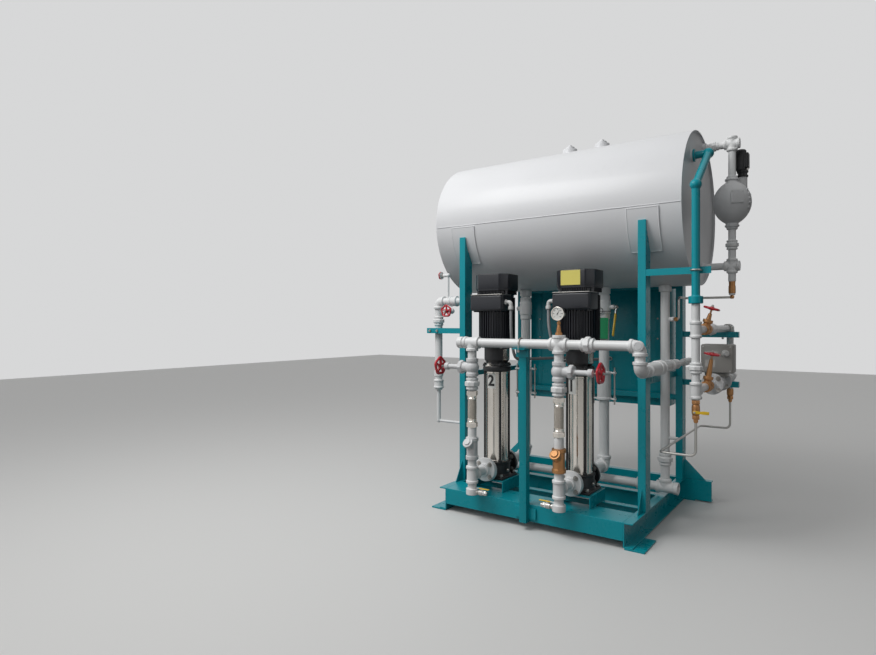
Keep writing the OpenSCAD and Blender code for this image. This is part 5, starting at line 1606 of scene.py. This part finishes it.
def seenRay(tree):
    # 1 for rays from the camera and for those that metal and glass send on
    path = tree.nodes.new("ShaderNodeLightPath")
    both = addMath(tree, "MAXIMUM", path.outputs["Is Camera Ray"], path.outputs["Is Glossy Ray"])
    return addMath(tree, "MAXIMUM", both, path.outputs["Is Transmission Ray"])


def plainGrey(level):
    return (level, level, level, 1)


def coolGrey(level):
    return (level, level * 1.005, level * 1.01, 1)


def makeStage():
    mesh = bmesh.new()
    half = studio["floorSize"] / 2
    mesh.faces.new([mesh.verts.new((x * half, y * half, 0))
                    for x, y in ((-1, -1), (1, -1), (1, 1), (-1, 1))])
    data = toData(mesh, "shopFloor")
    floor = bpy.data.objects.new("shopFloor", data)
    bpy.context.scene.collection.objects.link(floor)
    material = bpy.data.materials.new("floorPaint")
    material.use_nodes = True
    shader = material.node_tree.nodes["Principled BSDF"]
    tree = material.node_tree
    tone = addMix(tree, seenRay(tree), studio["floorBounce"], studio["floorSeen"])
    tree.links.new(tone, shader.inputs["Base Color"])
    shader.inputs["Roughness"].default_value = 0.6
    data.materials.append(material)


def makeSky():
    world = bpy.data.worlds.new("studioSky")
    bpy.context.scene.world = world
    world.use_nodes = True
    tree = world.node_tree
    tree.nodes.clear()
    out = tree.nodes.new("ShaderNodeOutputWorld")
    glow = tree.nodes.new("ShaderNodeBackground")
    plain = tree.nodes.new("ShaderNodeBackground")
    place = tree.nodes.new("ShaderNodeTexCoord")
    parts = tree.nodes.new("ShaderNodeSeparateXYZ")
    tree.links.new(place.outputs["Generated"], parts.inputs[0])
    x, y, z = parts.outputs["X"], parts.outputs["Y"], parts.outputs["Z"]
    # what lights the object: bright above and in front, dim behind, almost dark below
    lean = plus(tree, times(tree, y, -0.8), times(tree, x, -0.6))
    front = addStep(tree, lean, -0.3, 0.7)
    around = addMix(tree, front, plainGrey(studio["skyBack"]), plainGrey(studio["skyFront"]))
    above = addMix(tree, addStep(tree, z, -0.02, 0.36), plainGrey(studio["skyLow"]), around)
    tree.links.new(above, glow.inputs["Color"])
    # what the camera sees is plain and pale, and shiny surfaces see dark bands in it
    turn = math.radians(view["turn"])
    back = plus(tree, times(tree, x, math.sin(turn)),
                   times(tree, y, -math.cos(turn)))
    right = plus(tree, times(tree, x, math.cos(turn)),
                    times(tree, y, math.sin(turn)))
    angle = addMath(tree, "ARCTAN2", right, back)
    ramp = tree.nodes.new("ShaderNodeValToRGB")
    tree.links.new(plus(tree, addMath(tree, "DIVIDE", angle, 2 * math.pi), 0.5),
                   ramp.inputs[0])
    for k, (degrees, level) in enumerate(studio["bands"]):
        spot = (degrees + 180) / 360
        stop = ramp.color_ramp.elements[0] if k == 0 else ramp.color_ramp.elements.new(spot)
        stop.position, stop.color = spot, coolGrey(level)
    paleSky = coolGrey(studio["pale"])
    ramp.color_ramp.elements[len(ramp.color_ramp.elements) - 1].color = paleSky
    shiny = addMix(tree, addStep(tree, z, 0.45, 0.80), ramp.outputs["Color"], paleSky)
    path = tree.nodes.new("ShaderNodeLightPath")
    seen = addMix(tree, path.outputs["Is Camera Ray"], shiny, paleSky)
    tree.links.new(seen, plain.inputs["Color"])
    mix = tree.nodes.new("ShaderNodeMixShader")
    tree.links.new(seenRay(tree), mix.inputs[0])
    tree.links.new(glow.outputs[0], mix.inputs[1])
    tree.links.new(plain.outputs[0], mix.inputs[2])
    tree.links.new(mix.outputs[0], out.inputs["Surface"])


def addLamp(name, place, target, size, power):
    data = bpy.data.lights.new(name, "AREA")
    data.shape = "RECTANGLE"
    data.size, data.size_y = size
    data.energy = power
    lamp = bpy.data.objects.new(name, data)
    lamp.location = place
    lamp.rotation_euler = (Vector(target) - Vector(place)).to_track_quat("-Z", "Y").to_euler()
    bpy.context.scene.collection.objects.link(lamp)


makeStage()
makeSky()
addLamp("keyLamp", studio["keyPlace"], (0, 0, 1.2), studio["keySize"], studio["keyPower"])
print("stage and lamps set")
